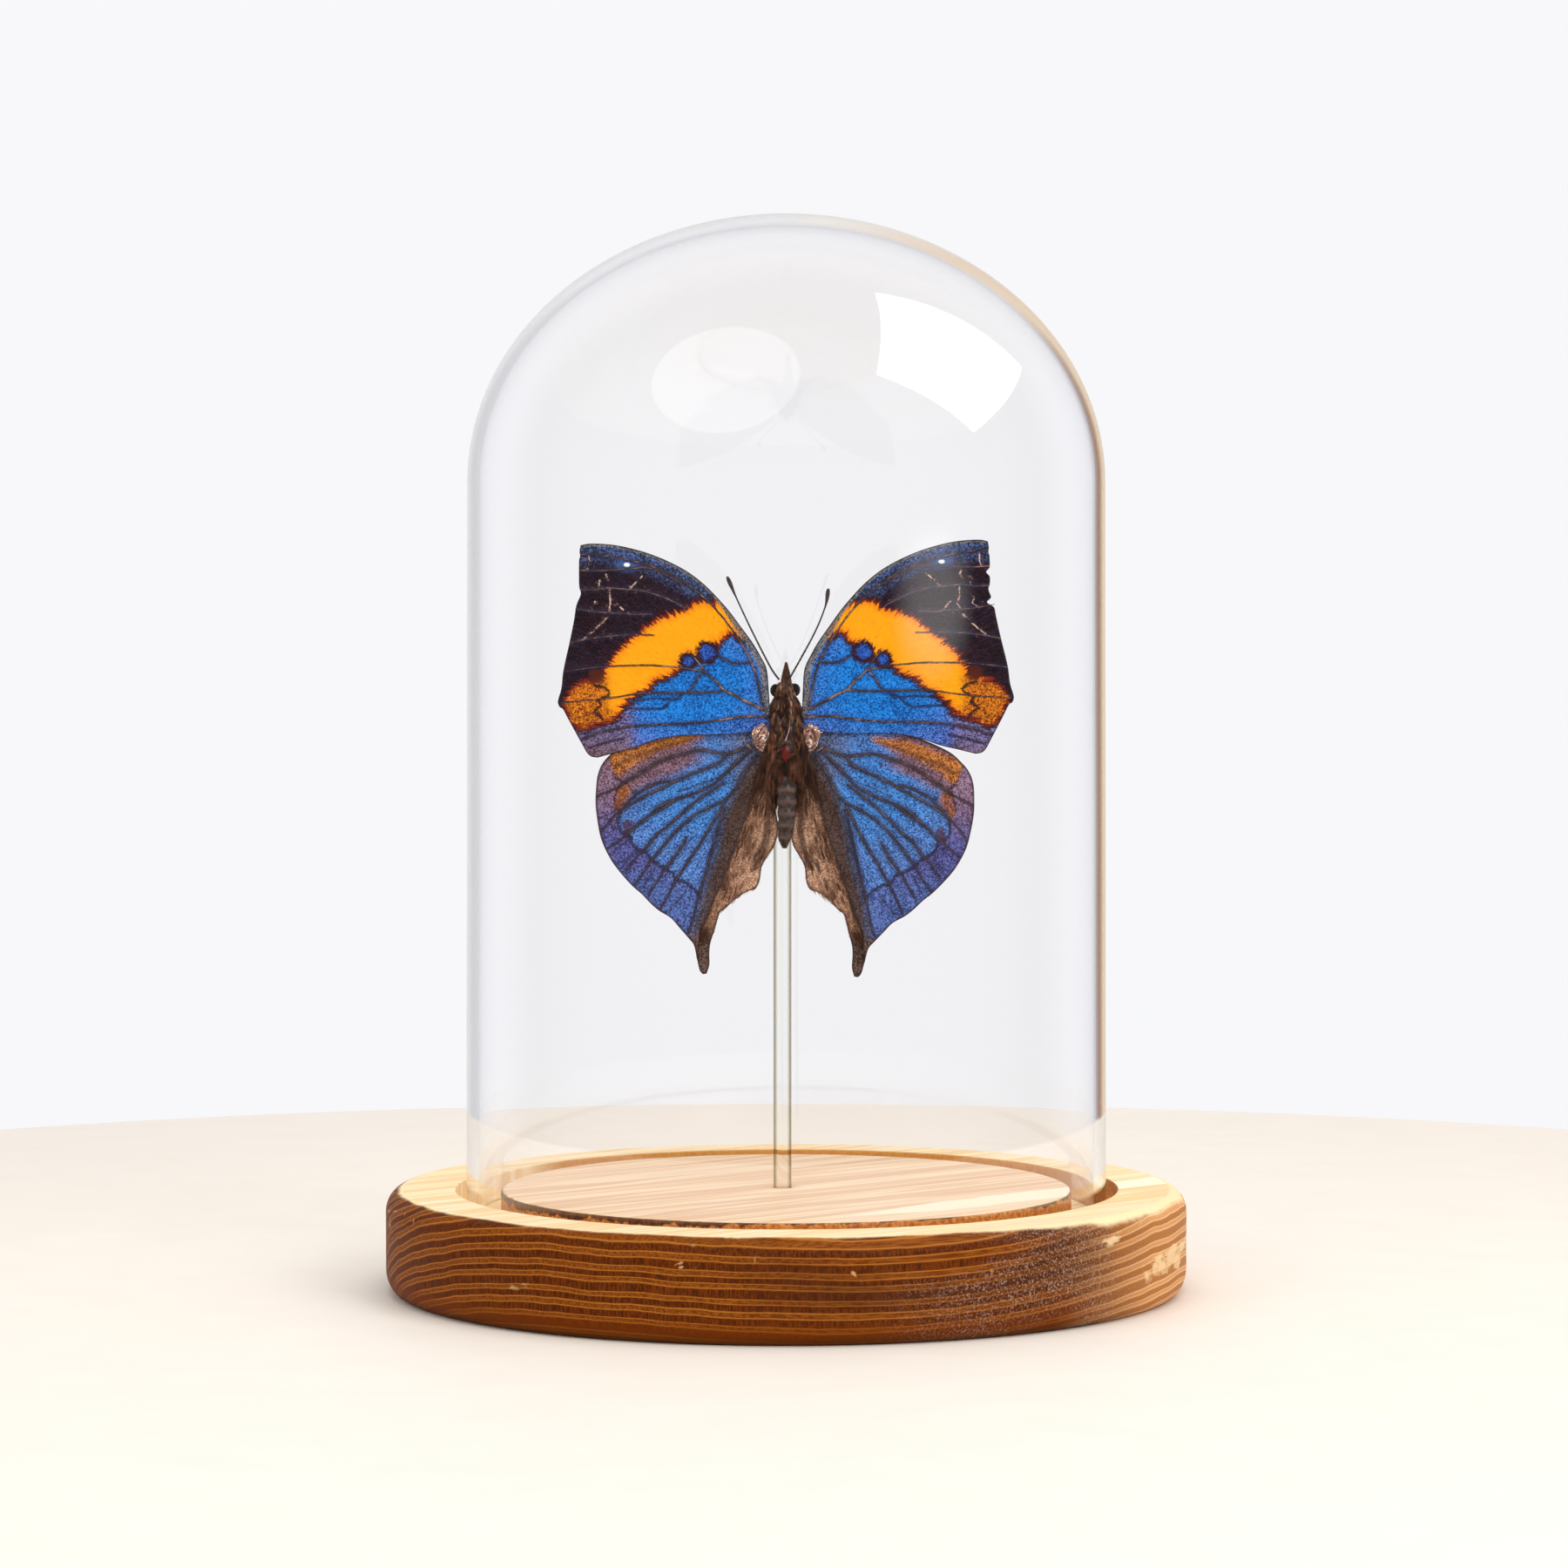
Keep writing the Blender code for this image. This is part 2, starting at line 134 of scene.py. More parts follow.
HINDWING_OUTER = [
    (-3.4, 103.8), (-12.0, 106.0), (-21.5, 105.4), (-29.4, 102.8), (-32.6, 100.5), (-34.0, 98.9),
    (-34.7, 97.4), (-35.1, 95.5), (-35.3, 91.8), (-35.1, 89.3), (-34.6, 86.2), (-34.0, 84.1),
    (-32.6, 81.2), (-30.9, 78.8), (-28.6, 76.2), (-26.7, 74.5), (-25.2, 72.9), (-23.6, 71.5),
    (-21.4, 70.1), (-19.9, 68.4), (-18.0, 66.2), (-17.2, 65.2), (-16.8, 63.7), (-16.5, 61.9),
    (-16.1, 60.2), (-15.5, 59.5),
]
HINDWING_INNER = [
    (-3.2, 99.5), (-3.1, 94.9), (-2.6, 92.4), (-1.8, 89.3), (-1.5, 86.2), (-2.2, 83.4), (-3.2, 81.8),
    (-4.5, 79.6), (-4.9, 77.1), (-5.7, 75.4), (-7.1, 75.0), (-8.7, 74.0), (-10.2, 72.8),
    (-11.6, 71.5), (-12.3, 71.1), (-13.3, 67.8), (-14.1, 65.3), (-14.3, 63.4), (-14.3, 61.3),
    (-14.8, 59.6),
]
ANAL_CREASE = [(-4.6, 99.6), (-14.0, 85.0), (-16.0, 68.6)]
ANAL_FOLD_DEPTH = 1.7

# Forewing markings
BAND = [
    (-9.8, 125.8), (-11.7, 127.9), (-14.7, 128.5), (-17.1, 128.3), (-18.2, 127.2), (-20.1, 126.6),
    (-23.3, 125.6), (-25.7, 123.9), (-27.9, 122.1), (-29.8, 120.4), (-31.4, 118.5), (-33.0, 116.8),
    (-33.3, 115.3), (-35.2, 113.8), (-37.9, 113.4), (-39.9, 111.7), (-40.6, 109.4), (-39.5, 107.1),
    (-37.5, 105.6), (-35.4, 106.6), (-33.0, 107.0), (-31.1, 108.4), (-30.0, 110.2), (-27.6, 112.0),
    (-25.5, 113.2), (-24.4, 114.5), (-22.0, 115.4), (-20.3, 116.5), (-19.4, 118.0), (-18.2, 119.4),
    (-16.4, 118.6), (-15.6, 120.4), (-13.6, 121.4), (-12.3, 121.6), (-11.2, 123.1), (-9.9, 123.4),
    (-8.0, 122.3), (-7.2, 123.8),
]
BAND_AXIS = [
    (-4.0, 128.5), (-8.2, 127.9), (-11.5, 125.5), (-19.0, 122.5), (-26.5, 117.7), (-31.9, 113.3),
    (-36.5, 110.1), (-44.0, 107.0),
]
SPOTS = [(-14.6, 119.4, 1.35), (-18.2, 117.8, 0.95)]
HOOKS = [
    [(-35.2, 113.3), (-34.0, 113.1), (-33.1, 112.6), (-32.7, 111.9), (-33.3, 111.3), (-34.0, 111.1)],
    [(-34.8, 110.7), (-34.3, 109.8), (-34.8, 109.2), (-35.4, 108.5), (-34.6, 107.9), (-33.8, 107.0)],
]
FOREWING_VEINS = [
    (0.26, 0.10, [(-4.2, 108.8), (-7.4, 110.4), (-9.8, 111.7), (-11.5, 112.5), (-13.1, 114.2),
                  (-14.7, 115.5), (-16.3, 117.7), (-17.5, 119.0)]),
    (0.14, 0.07, [(-11.2, 112.4), (-12.8, 112.2), (-16.3, 112.0), (-20.3, 112.0), (-24.4, 112.0),
                  (-27.1, 111.9), (-30.2, 111.4), (-34.4, 110.8), (-37.1, 110.6), (-41.5, 110.2)]),
    (0.12, 0.06, [(-15.2, 115.9), (-19.0, 116.6), (-22.2, 116.9), (-26.1, 117.1), (-33.0, 116.9),
                  (-37.9, 116.4), (-41.0, 115.9)]),
    (0.10, 0.05, [(-15.6, 115.5), (-16.7, 114.4), (-17.4, 112.9), (-18.2, 112.3)]),
    (0.17, 0.08, [(-3.1, 107.4), (-6.1, 107.5), (-8.5, 107.5), (-11.2, 107.1), (-14.7, 106.6),
                  (-19.0, 106.3), (-24.4, 106.1), (-28.4, 105.8), (-31.4, 105.3), (-34.4, 104.7),
                  (-37.7, 103.4)]),
    (0.17, 0.08, [(-4.3, 109.6), (-5.0, 112.8), (-5.5, 115.0), (-6.5, 117.7), (-7.8, 120.3),
                  (-9.4, 122.8), (-11.0, 125.0), (-12.8, 127.2), (-15.2, 129.6), (-18.2, 132.0),
                  (-21.7, 134.0), (-25.4, 135.6), (-29.2, 136.6), (-34.0, 137.5), (-38.0, 137.6)]),
    (0.08, 0.05, [(-6.7, 117.5), (-9.6, 117.5), (-11.3, 118.2), (-12.4, 118.8)]),
    (0.08, 0.05, [(-38.2, 134.7), (-35.2, 134.6), (-32.5, 134.7), (-30.3, 134.9), (-28.2, 135.0),
                  (-26.4, 135.2), (-24.4, 134.9), (-22.0, 133.8), (-19.0, 132.0)]),
    (0.08, 0.05, [(-38.1, 131.1), (-35.2, 131.1), (-33.0, 131.4), (-31.1, 131.3), (-29.0, 131.1),
                  (-26.5, 130.9), (-24.4, 130.3), (-22.2, 129.5), (-20.3, 128.6), (-18.5, 127.6)]),
    (0.07, 0.05, [(-38.9, 127.6), (-36.5, 127.2), (-32.7, 126.8), (-30.3, 126.7), (-28.2, 126.5),
                  (-24.9, 126.6)]),
    (0.07, 0.05, [(-39.9, 121.3), (-36.5, 122.0), (-32.5, 122.5), (-29.2, 122.7), (-24.4, 122.7)]),
]
FOREWING_FOLDS = [
    [(-19.5, 111.5), (-21.2, 110.6), (-22.2, 109.6), (-23.3, 109.0), (-26.5, 109.0), (-30.0, 109.2)],
    [(-19.3, 111.7), (-20.1, 110.8), (-24.4, 110.9), (-28.2, 110.5)],
    [(-26.6, 117.1), (-24.9, 117.2), (-23.5, 117.0)],
    [(-30.0, 103.6), (-33.0, 102.9), (-36.6, 101.8)],
    [(-38.9, 119.2), (-35.4, 119.8), (-31.4, 120.2)],
    [(-38.6, 129.0), (-37.6, 128.3), (-36.0, 128.9), (-32.0, 128.5), (-28.0, 128.6)],
    [(-38.8, 125.0), (-35.0, 124.6), (-30.0, 124.8)],
]
# Pale copper lines and scratches of the dark apex, besides its veins
FOREWING_GLINTS = [
    [(-37.9, 121.7), (-36.2, 122.9), (-34.9, 124.1), (-33.0, 126.0)],
    [(-36.4, 137.5), (-36.3, 136.0), (-36.6, 134.8)],
    [(-33.2, 133.9), (-33.0, 132.8)],
    [(-34.4, 133.0), (-34.6, 131.6)],
    [(-32.6, 131.2), (-32.5, 128.8), (-32.7, 126.8)],
    [(-29.0, 131.2), (-26.6, 133.6)],
    [(-31.4, 128.5), (-29.9, 127.2), (-28.9, 126.6)],
    [(-36.1, 127.2), (-35.3, 128.9)],
]

# Hindwing markings
GOLD_PATCH = [
    (-32.9, 100.6), (-29.5, 101.9), (-26.4, 102.8), (-22.7, 103.9), (-17.7, 104.5), (-15.4, 104.1),
    (-17.7, 103.0), (-20.2, 102.2), (-23.0, 101.4), (-25.4, 100.2), (-27.6, 99.0), (-29.4, 97.9),
    (-30.3, 97.0), (-31.3, 96.5), (-32.1, 98.0),
]
GOLD_SPOT = [
    (-31.4, 93.0), (-30.9, 94.7), (-29.7, 95.1), (-28.8, 94.2), (-29.0, 92.6), (-30.0, 91.2),
    (-31.2, 90.3), (-31.8, 91.1),
]
MAROON_SPOT = [(-30.6, 87.6), (-29.3, 88.6), (-28.4, 87.8), (-29.0, 86.2), (-30.0, 85.6)]
GOLD_SHADE = [(-31.4, 98.6), (-28.4, 100.0), (-25.2, 101.0), (-21.4, 102.3), (-17.7, 103.3)]
SCALLOPS = [
    (-33.4, 102.0), (-32.4, 99.4), (-31.8, 97.7), (-31.4, 96.1), (-30.6, 95.4), (-31.5, 93.4),
    (-31.8, 91.5), (-30.9, 90.1), (-31.2, 88.0), (-30.4, 86.1), (-29.1, 85.6), (-28.7, 83.9),
    (-27.3, 82.8), (-25.8, 81.9), (-25.1, 80.8), (-23.9, 80.2), (-22.7, 79.3), (-21.4, 78.6),
    (-20.4, 77.1), (-18.9, 76.8), (-17.4, 75.6), (-16.0, 74.0), (-15.0, 70.5),
]
BLUE_INNER_EDGE = [
    (-4.6, 101.0), (-6.2, 98.9), (-8.7, 94.6), (-10.5, 90.5), (-11.8, 86.2), (-12.8, 81.5),
    (-14.2, 77.2), (-15.6, 72.3), (-16.6, 68.0), (-17.2, 64.0),
]
FOLD_CREASE = [
    (-4.4, 99.9), (-5.7, 95.5), (-7.3, 89.6), (-8.6, 85.6), (-10.2, 81.6), (-11.5, 78.1),
    (-13.2, 74.0), (-14.6, 70.6), (-15.7, 67.8), (-16.2, 65.0), (-16.4, 60.0),
]
FOLD_FURROW = [(-3.7, 98.5), (-3.6, 94.0), (-3.3, 89.0), (-3.9, 84.0), (-5.5, 79.5)]
HINDWING_VEINS = [
    (0.16, 0.06, [(-4.6, 103.2), (-5.4, 102.4), (-6.5, 101.9), (-8.7, 101.3), (-11.2, 100.6),
                  (-14.3, 101.1), (-16.5, 101.3), (-18.9, 100.7), (-20.8, 100.2), (-23.0, 99.4),
                  (-25.2, 98.3), (-28.7, 96.1), (-31.8, 94.2), (-35.0, 92.8)]),
    (0.13, 0.06, [(-11.2, 100.6), (-12.1, 99.2), (-14.6, 98.0), (-17.7, 96.8), (-20.4, 95.6),
                  (-22.8, 94.4), (-25.5, 93.2), (-28.0, 91.8), (-30.6, 90.2), (-32.9, 88.0),
                  (-34.3, 86.2)]),
    (0.12, 0.06, [(-6.5, 101.3), (-9.6, 98.6), (-12.7, 95.6), (-15.2, 94.1), (-17.9, 93.0),
                  (-21.2, 92.0), (-23.6, 90.8), (-25.4, 89.2), (-27.3, 87.7), (-28.9, 86.2),
                  (-31.0, 84.6), (-33.0, 83.2)]),
    (0.12, 0.06, [(-11.8, 95.2), (-14.6, 93.3), (-16.4, 92.1), (-18.3, 90.5), (-20.8, 88.3),
                  (-22.4, 86.8), (-24.2, 85.5), (-25.8, 83.4), (-27.7, 81.5), (-29.6, 79.0)]),
    (0.12, 0.06, [(-5.6, 100.2), (-7.7, 97.2), (-9.2, 94.4), (-11.2, 92.2), (-13.6, 91.0),
                  (-16.4, 89.6), (-18.9, 87.7), (-20.8, 85.9), (-22.4, 84.0), (-24.2, 81.8),
                  (-25.2, 80.6), (-27.0, 77.8), (-28.3, 76.2)]),
    (0.11, 0.05, [(-11.5, 91.6), (-13.6, 87.8), (-15.8, 84.2), (-17.7, 81.4), (-19.9, 78.0),
                  (-21.6, 75.0), (-23.2, 72.0)]),
    (0.11, 0.05, [(-18.5, 84.9), (-20.2, 82.2), (-22.2, 79.6), (-23.9, 77.0), (-25.6, 74.6)]),
    (0.09, 0.05, [(-11.6, 90.5), (-12.7, 86.8), (-13.8, 82.6), (-14.9, 78.6), (-16.0, 75.0),
                  (-16.8, 72.0), (-17.3, 69.8), (-18.2, 67.4)]),
    (0.09, 0.05, [(-20.2, 92.4), (-23.0, 90.5), (-25.2, 89.3)]),
    (0.09, 0.05, [(-20.4, 95.6), (-23.2, 95.4), (-25.6, 94.4), (-27.6, 93.2), (-29.8, 91.2)]),
]
HINDWING_FOLDS = [
    [(-28.3, 82.7), (-29.4, 80.9), (-30.6, 79.4)],
    [(-18.6, 75.0), (-20.2, 73.3), (-22.3, 70.9)],
    [(-27.3, 82.7), (-28.6, 81.5), (-31.5, 80.2)],
    [(-24.4, 79.4), (-25.6, 77.3), (-26.7, 75.6)],
    [(-8.0, 99.6), (-12.0, 96.6), (-16.0, 95.0), (-20.0, 93.6)],
    [(-31.6, 90.0), (-33.0, 89.4), (-34.6, 88.6)],
    [(-29.6, 84.4), (-31.4, 83.0), (-33.0, 81.8)],
]
FOREWING_RIBS = [
    [(-37.4, 138.6), (-33.0, 130.0), (-27.5, 118.0), (-22.5, 105.0)],
]
HINDWING_RIBS = [
    [(-21.0, 105.0), (-19.0, 96.0), (-17.4, 84.0), (-16.4, 72.0), (-15.6, 61.0)],
]

# Body, as rings: height, middle in X and Y, half-width and half-depth ------------------------------
THORAX_RINGS = [
    (111.2, -0.1, -7.4, 0.9, 0.9), (110.9, -0.1, -7.4, 2.2, 1.7), (109.4, -0.1, -7.1, 2.8, 2.3),
    (107.0, 0.0, -6.8, 3.0, 2.9), (104.0, 0.1, -6.6, 3.1, 3.2), (101.5, 0.1, -6.7, 3.0, 2.9),
    (99.6, 0.0, -6.9, 2.7, 2.2), (98.9, 0.0, -6.9, 1.6, 1.3),
]
ABDOMEN_RINGS = [
    (98.7, 0.0, -7.4, 1.1, 1.2), (98.2, 0.0, -7.4, 1.6, 1.6), (95.5, 0.0, -7.9, 1.62, 1.6),
    (91.0, 0.15, -8.0, 1.6, 1.5), (87.5, 0.0, -8.0, 1.4, 1.35), (84.6, -0.3, -8.0, 1.0, 1.0),
    (83.1, -0.3, -8.0, 0.35, 0.35),
]
SEGMENT_TURN = 1.42
HEAD_RINGS = [
    (113.9, -0.2, -7.4, 0.9, 0.8), (113.4, -0.2, -7.4, 1.6, 1.4), (112.4, -0.2, -7.4, 1.95, 1.85),
    (111.6, -0.2, -7.4, 2.1, 1.8), (110.9, -0.2, -7.4, 0.9, 0.8),
]
EYES = {"left": (-1.98, -7.35, 112.4), "right": (1.62, -7.35, 112.5)}
EYE_RADIUS = 1.0
PALP_PATH = [(0.45, -7.6, 113.4), (0.36, -7.8, 115.0), (0.2, -7.9, 116.3), (0.05, -8.0, 117.5)]
PALP_RADII = (0.62, 0.42, 0.24, 0.05)
ANTENNA_PATHS = {
    "left": [(-1.3, -8.4, 114.4), (-3.0, -8.6, 116.9), (-6.5, -9.0, 123.8), (-9.3, -9.3, 129.8),
             (-10.9, -9.5, 133.5)],
    "right": [(0.4, -8.9, 114.2), (0.95, -8.9, 115.2), (5.1, -9.2, 122.8), (7.2, -9.5, 127.9),
              (7.8, -9.7, 131.3)],
}
ANTENNA_RADIUS = 0.2
CLUB_RADIUS = 0.36
ANTENNA_RING_SPACING = 0.42
LEG_PATHS = {
    "mid": [(1.9, -2.9, 105.6), (4.6, -2.2, 102.6), (3.6, -1.7, 96.8), (4.1, -1.4, 92.2)],
    "hind": [(1.6, -3.1, 101.2), (4.0, -2.7, 97.8), (3.2, -2.4, 90.8), (3.6, -2.2, 86.6)],
}
LEG_RADII = (0.30, 0.36, 0.30, 0.24, 0.26, 0.18, 0.15, 0.17, 0.10)
GLUE_RINGS = [
    (107.4, -0.4, -2.45, 0.5, 0.2), (106.6, -0.4, -2.45, 1.4, 0.33), (105.0, -0.4, -2.45, 1.75, 0.36),
    (103.6, -0.4, -2.45, 1.7, 0.35), (101.9, -0.4, -2.45, 0.6, 0.2),
]
SCUTELLUM = [(-0.1, 102.8), (1.6, 101.2), (-0.1, 99.2), (-1.75, 101.0)]
PINK_STREAK = [(0.65, -10.0, 106.8), (0.6, -10.3, 105.4), (0.1, -10.4, 103.8), (-0.1, -10.4, 103.2)]
HINGE_RIDGES = [
    [(3.4, -9.0, 106.4), (4.6, -9.3, 105.2), (6.2, -9.0, 102.4)],
    [(7.9, -8.5, 103.4), (6.4, -8.9, 101.6), (4.0, -8.9, 100.5)],
    [(4.4, -9.3, 104.0), (5.6, -9.25, 102.6), (3.7, -9.1, 101.2)],
]
# Longer tufts at the sides and under the scutellum: middle, spread, lean and number of hairs
THORAX_TUFTS = [
    ((-2.5, -8.2, 101.5), (0.5, 0.7, 1.6), (-0.12, -0.25, -1.0), 700),
    ((2.6, -8.2, 101.5), (0.5, 0.7, 1.6), (0.12, -0.25, -1.0), 700),
    ((-1.0, -9.2, 98.6), (0.7, 0.4, 0.6), (0.1, -0.12, -1.0), 420),
    ((1.1, -9.2, 98.6), (0.7, 0.4, 0.6), (-0.1, -0.12, -1.0), 420),
    ((-2.5, -7.3, 98.2), (0.45, 0.7, 1.3), (-0.06, -0.1, -1.0), 1100),
    ((2.6, -7.3, 98.2), (0.45, 0.7, 1.3), (0.08, -0.1, -1.0), 1100),
    ((-2.3, -6.6, 94.5), (0.4, 0.5, 1.6), (-0.02, -0.05, -1.0), 900),
    ((2.4, -6.6, 94.5), (0.4, 0.5, 1.6), (0.05, -0.05, -1.0), 900),
]


# Curves and distances --------------------------------------------------------------------------------
def smooth_path(points, count):
    """The Catmull-Rom curve through the points, at evenly spaced parameters."""
    inner = np.asarray(points, dtype=float)
    padded = np.vstack((2 * inner[0] - inner[1], inner, 2 * inner[-1] - inner[-2]))
    place = np.linspace(0.0, len(inner) - 1.0, count)
    index = np.minimum(place.astype(int), len(inner) - 2)
    t = (place - index)[:, None]
    a, b, c, d = (padded[index + k] for k in range(4))
    return 0.5 * (2 * b + (c - a) * t + (2 * a - 5 * b + 4 * c - d) * t**2
                  + (3 * b - a - 3 * c + d) * t**3)


def even_path(points, count):
    """The same curve cut into steps of equal length."""
    fine = smooth_path(points, len(points) * 12)
    reach = np.r_[0.0, np.cumsum(np.linalg.norm(np.diff(fine, axis=0), axis=1))]
    even = np.linspace(0.0, reach[-1], count)
    return np.stack([np.interp(even, reach, column) for column in fine.T], axis=1)


def arc(centre, radii, start, end, count):
    """Points on an ellipse from one angle to another, in degrees."""
    angles = np.radians(np.linspace(start, end, count))
    return np.stack([centre[0] + radii[0] * np.cos(angles), centre[1] + radii[1] * np.sin(angles)], 1)


def ease(value, low, high):
    """0 up to low, 1 from high on, and a smooth step between them."""
    t = np.clip((value - low) / (high - low), 0.0, 1.0)
    return t * t * (3 - 2 * t)


def from_line(points, line):
    """Distance to a smooth line, signed + on the left of its direction, and the direction there.

    Each point is dropped on every straight step of the line, the drop is kept within the step, and
    the nearest one counts.
    """
    path = even_path(line, 5 * len(line))
    start, step = path[:-1], np.diff(path, axis=0)
    offset = points[:, None, :] - start
    share = np.clip((offset * step).sum(-1) / (step**2).sum(-1), 0.0, 1.0)
    gap = offset - share[..., None] * step
    nearest = np.argmin((gap**2).sum(-1), axis=1)
    gap = gap[np.arange(len(points)), nearest]
    along = step[nearest]
    side = along[:, 0] * gap[:, 1] - along[:, 1] * gap[:, 0]
    return np.hypot(*gap.T) * np.where(side < 0, -1.0, 1.0), along


def from_lines(points, lines):
    """Distance to the nearest of several lines."""
    return np.min([np.abs(from_line(points, line)[0]) for line in lines], axis=0)


def from_outline(points, outline):
    """Distance to a closed smooth outline, + inside. Inside is where a ray crosses it an odd number
    of times."""
    closed = list(outline) + [outline[0]]
    distance = np.abs(from_line(points, closed)[0])
    corners = even_path(closed, 5 * len(closed))
    (ax, az), (bx, bz) = corners[:-1].T, corners[1:].T
    x, z = points[:, :1], points[:, 1:]
    crosses = (az > z) != (bz > z)
    at = ax + (z - az) / np.where(bz == az, 1.0, bz - az) * (bx - ax)
    inside = (crosses & (x < at)).sum(1) % 2 == 1
    return np.where(inside, distance, -distance)


# Mesh building -----------------------------------------------------------------------------------------
def grid_quads(rows, columns, around=False):
    """Faces of a grid of points stored row by row. Around joins the last column to the first."""
    i, j = np.meshgrid(np.arange(rows - 1), np.arange(columns if around else columns - 1),
                       indexing="ij")
    k = (j + 1) % columns
    corners = (i * columns + j, i * columns + k, (i + 1) * columns + k, (i + 1) * columns + j)
    return np.stack(corners, axis=-1).reshape(-1, 4)


def volume(points, faces):
    """Six times the volume inside closed faces, each cut into a fan of triangles."""
    total = 0.0
    for block in faces:
        first = points[block[:, 0]]
        for k in range(1, block.shape[1] - 1):
            total += np.einsum("ij,ij->", first, np.cross(points[block[:, k]], points[block[:, k + 1]]))
    return total


class Form:
    """Closed surfaces gathered into one mesh, with a material slot and named values for each."""

    def __init__(self):
        self.points, self.faces, self.slots, self.flows, self.values = [], [], [], [], []
        self.count = 0

    def add(self, points, faces, slots=0, flow=None, **values):
        """Add a closed surface: blocks of faces, a slot for each block, and values for each point."""
        points = np.asarray(points, dtype=float)
        inside_out = volume(points - points.mean(0), faces) < 0
        slots = [slots] * len(faces) if isinstance(slots, int) else slots
        for block, slot in zip(faces, slots):
            block = block[:, ::-1] if inside_out else block
            self.faces.append(block + self.count)
            self.slots.append(np.full(len(block), slot))
        self.points.append(points)
        self.flows.append(np.zeros((len(points), 2)) if flow is None else flow)
        self.values.append((len(points), values))
        self.count += len(points)

    def piece(self, name, materials, sharp_angle=None):
        """Write everything into one mesh object at the origin."""
        mesh = bpy.data.meshes.new(name)
        mesh.vertices.add(self.count)
        mesh.vertices.foreach_set("co", (np.concatenate(self.points) * MM).astype(np.float32).ravel())
        corners = np.concatenate([block.ravel() for block in self.faces]).astype(np.int32)
        widths = np.concatenate([np.full(len(block), block.shape[1]) for block in self.faces])
        mesh.loops.add(len(corners))
        mesh.loops.foreach_set("vertex_index", corners)
        mesh.polygons.add(len(widths))
        starts = np.r_[0, np.cumsum(widths)[:-1]].astype(np.int32)
        mesh.polygons.foreach_set("loop_start", starts)
        mesh.polygons.foreach_set("material_index", np.concatenate(self.slots).astype(np.int32))
        for material in materials:
            mesh.materials.append(material)
        for label in sorted({key for _, values in self.values for key in values}):
            column = [np.broadcast_to(values.get(label, 0.0), length) for length, values in self.values]
            layer = mesh.attributes.new(label, "FLOAT", "POINT")
            layer.data.foreach_set("value", np.concatenate(column).astype(np.float32))
        flow = np.concatenate(self.flows)
        if flow.any():
            layer = mesh.uv_layers.new(name="flow")
            layer.uv.foreach_set("vector", flow[corners].astype(np.float32).ravel())
        mesh.update(calc_edges=True)
        mesh.validate()
        mesh.shade_smooth()
        if sharp_angle:
            mesh.set_sharp_from_angle(angle=math.radians(sharp_angle))
        return placed_object(name, mesh, (0.0, 0.0, 0.0))


def stand_for(piece, nodes):
    """The piece rides on the root body and stands for CAD nodes."""
    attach(piece, "root")
    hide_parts(*nodes)
    return piece


def capped(rows, columns):
    """Faces of a tube of rings with a flat face over each end."""
    ends = np.arange(columns)
    return [grid_quads(rows, columns, around=True), ends[None, ::-1],
            ends[None] + (rows - 1) * columns]


def lathe(profile, segments):
    """Rings of (radius, height) points about the Z axis, with a shift in X where a third number
    gives it, closed by a face at each end."""
    angles = np.linspace(0.0, math.tau, segments, endpoint=False)
    rings = np.asarray(profile, dtype=float)
    shift = rings[:, 2:] if rings.shape[1] == 3 else 0.0
    points = np.stack([rings[:, :1] * np.cos(angles) + shift, rings[:, :1] * np.sin(angles),
                       np.broadcast_to(rings[:, 1:2], (len(rings), segments))], axis=-1)
    return points.reshape(-1, 3), capped(len(rings), segments)


def tube(path, radii, sides, flat=1.0):
    """A round section carried along a path: centre + r (cos a across + flat sin a forward)."""
    path = np.asarray(path, dtype=float)
    along = np.gradient(path, axis=0)
    along /= np.linalg.norm(along, axis=1)[:, None]
    across = np.cross(along, (0.0, 1.0, 0.0))
    across /= np.linalg.norm(across, axis=1)[:, None]
    third = np.cross(along, across)
    angles = np.linspace(0.0, math.tau, sides, endpoint=False)[None, :, None]
    reach = np.asarray(radii, dtype=float)[:, None, None]
    rings = path[:, None] + reach * (np.cos(angles) * across[:, None]
                                     + flat * np.sin(angles) * third[:, None])
    return rings.reshape(-1, 3), capped(len(path), sides)


def ringed(stations, count, sides, swell=None):
    """Level elliptical rings through smoothed stations, their size times swell(height, angle)."""
    fine = smooth_path(stations, count)
    angles = np.linspace(0.0, math.tau, sides, endpoint=False)
    z, x, y, rx, ry = (fine[:, k:k + 1] for k in range(5))
    size = 1.0 if swell is None else swell(z, angles)
    points = np.stack([x + rx * size * np.cos(angles), y + ry * size * np.sin(angles),
                       np.broadcast_to(z, (count, sides))], axis=-1)
    return points.reshape(-1, 3), capped(count, sides)


def mirrored(line, side):
    """A line drawn for the right side, or its mirror image for the left."""
    return np.array(line) * (side, 1, 1)


def tapered(radii, count):
    """Radii spread evenly over a number of points."""
    return np.interp(np.linspace(0, 1, count), np.linspace(0, 1, len(radii)), radii)


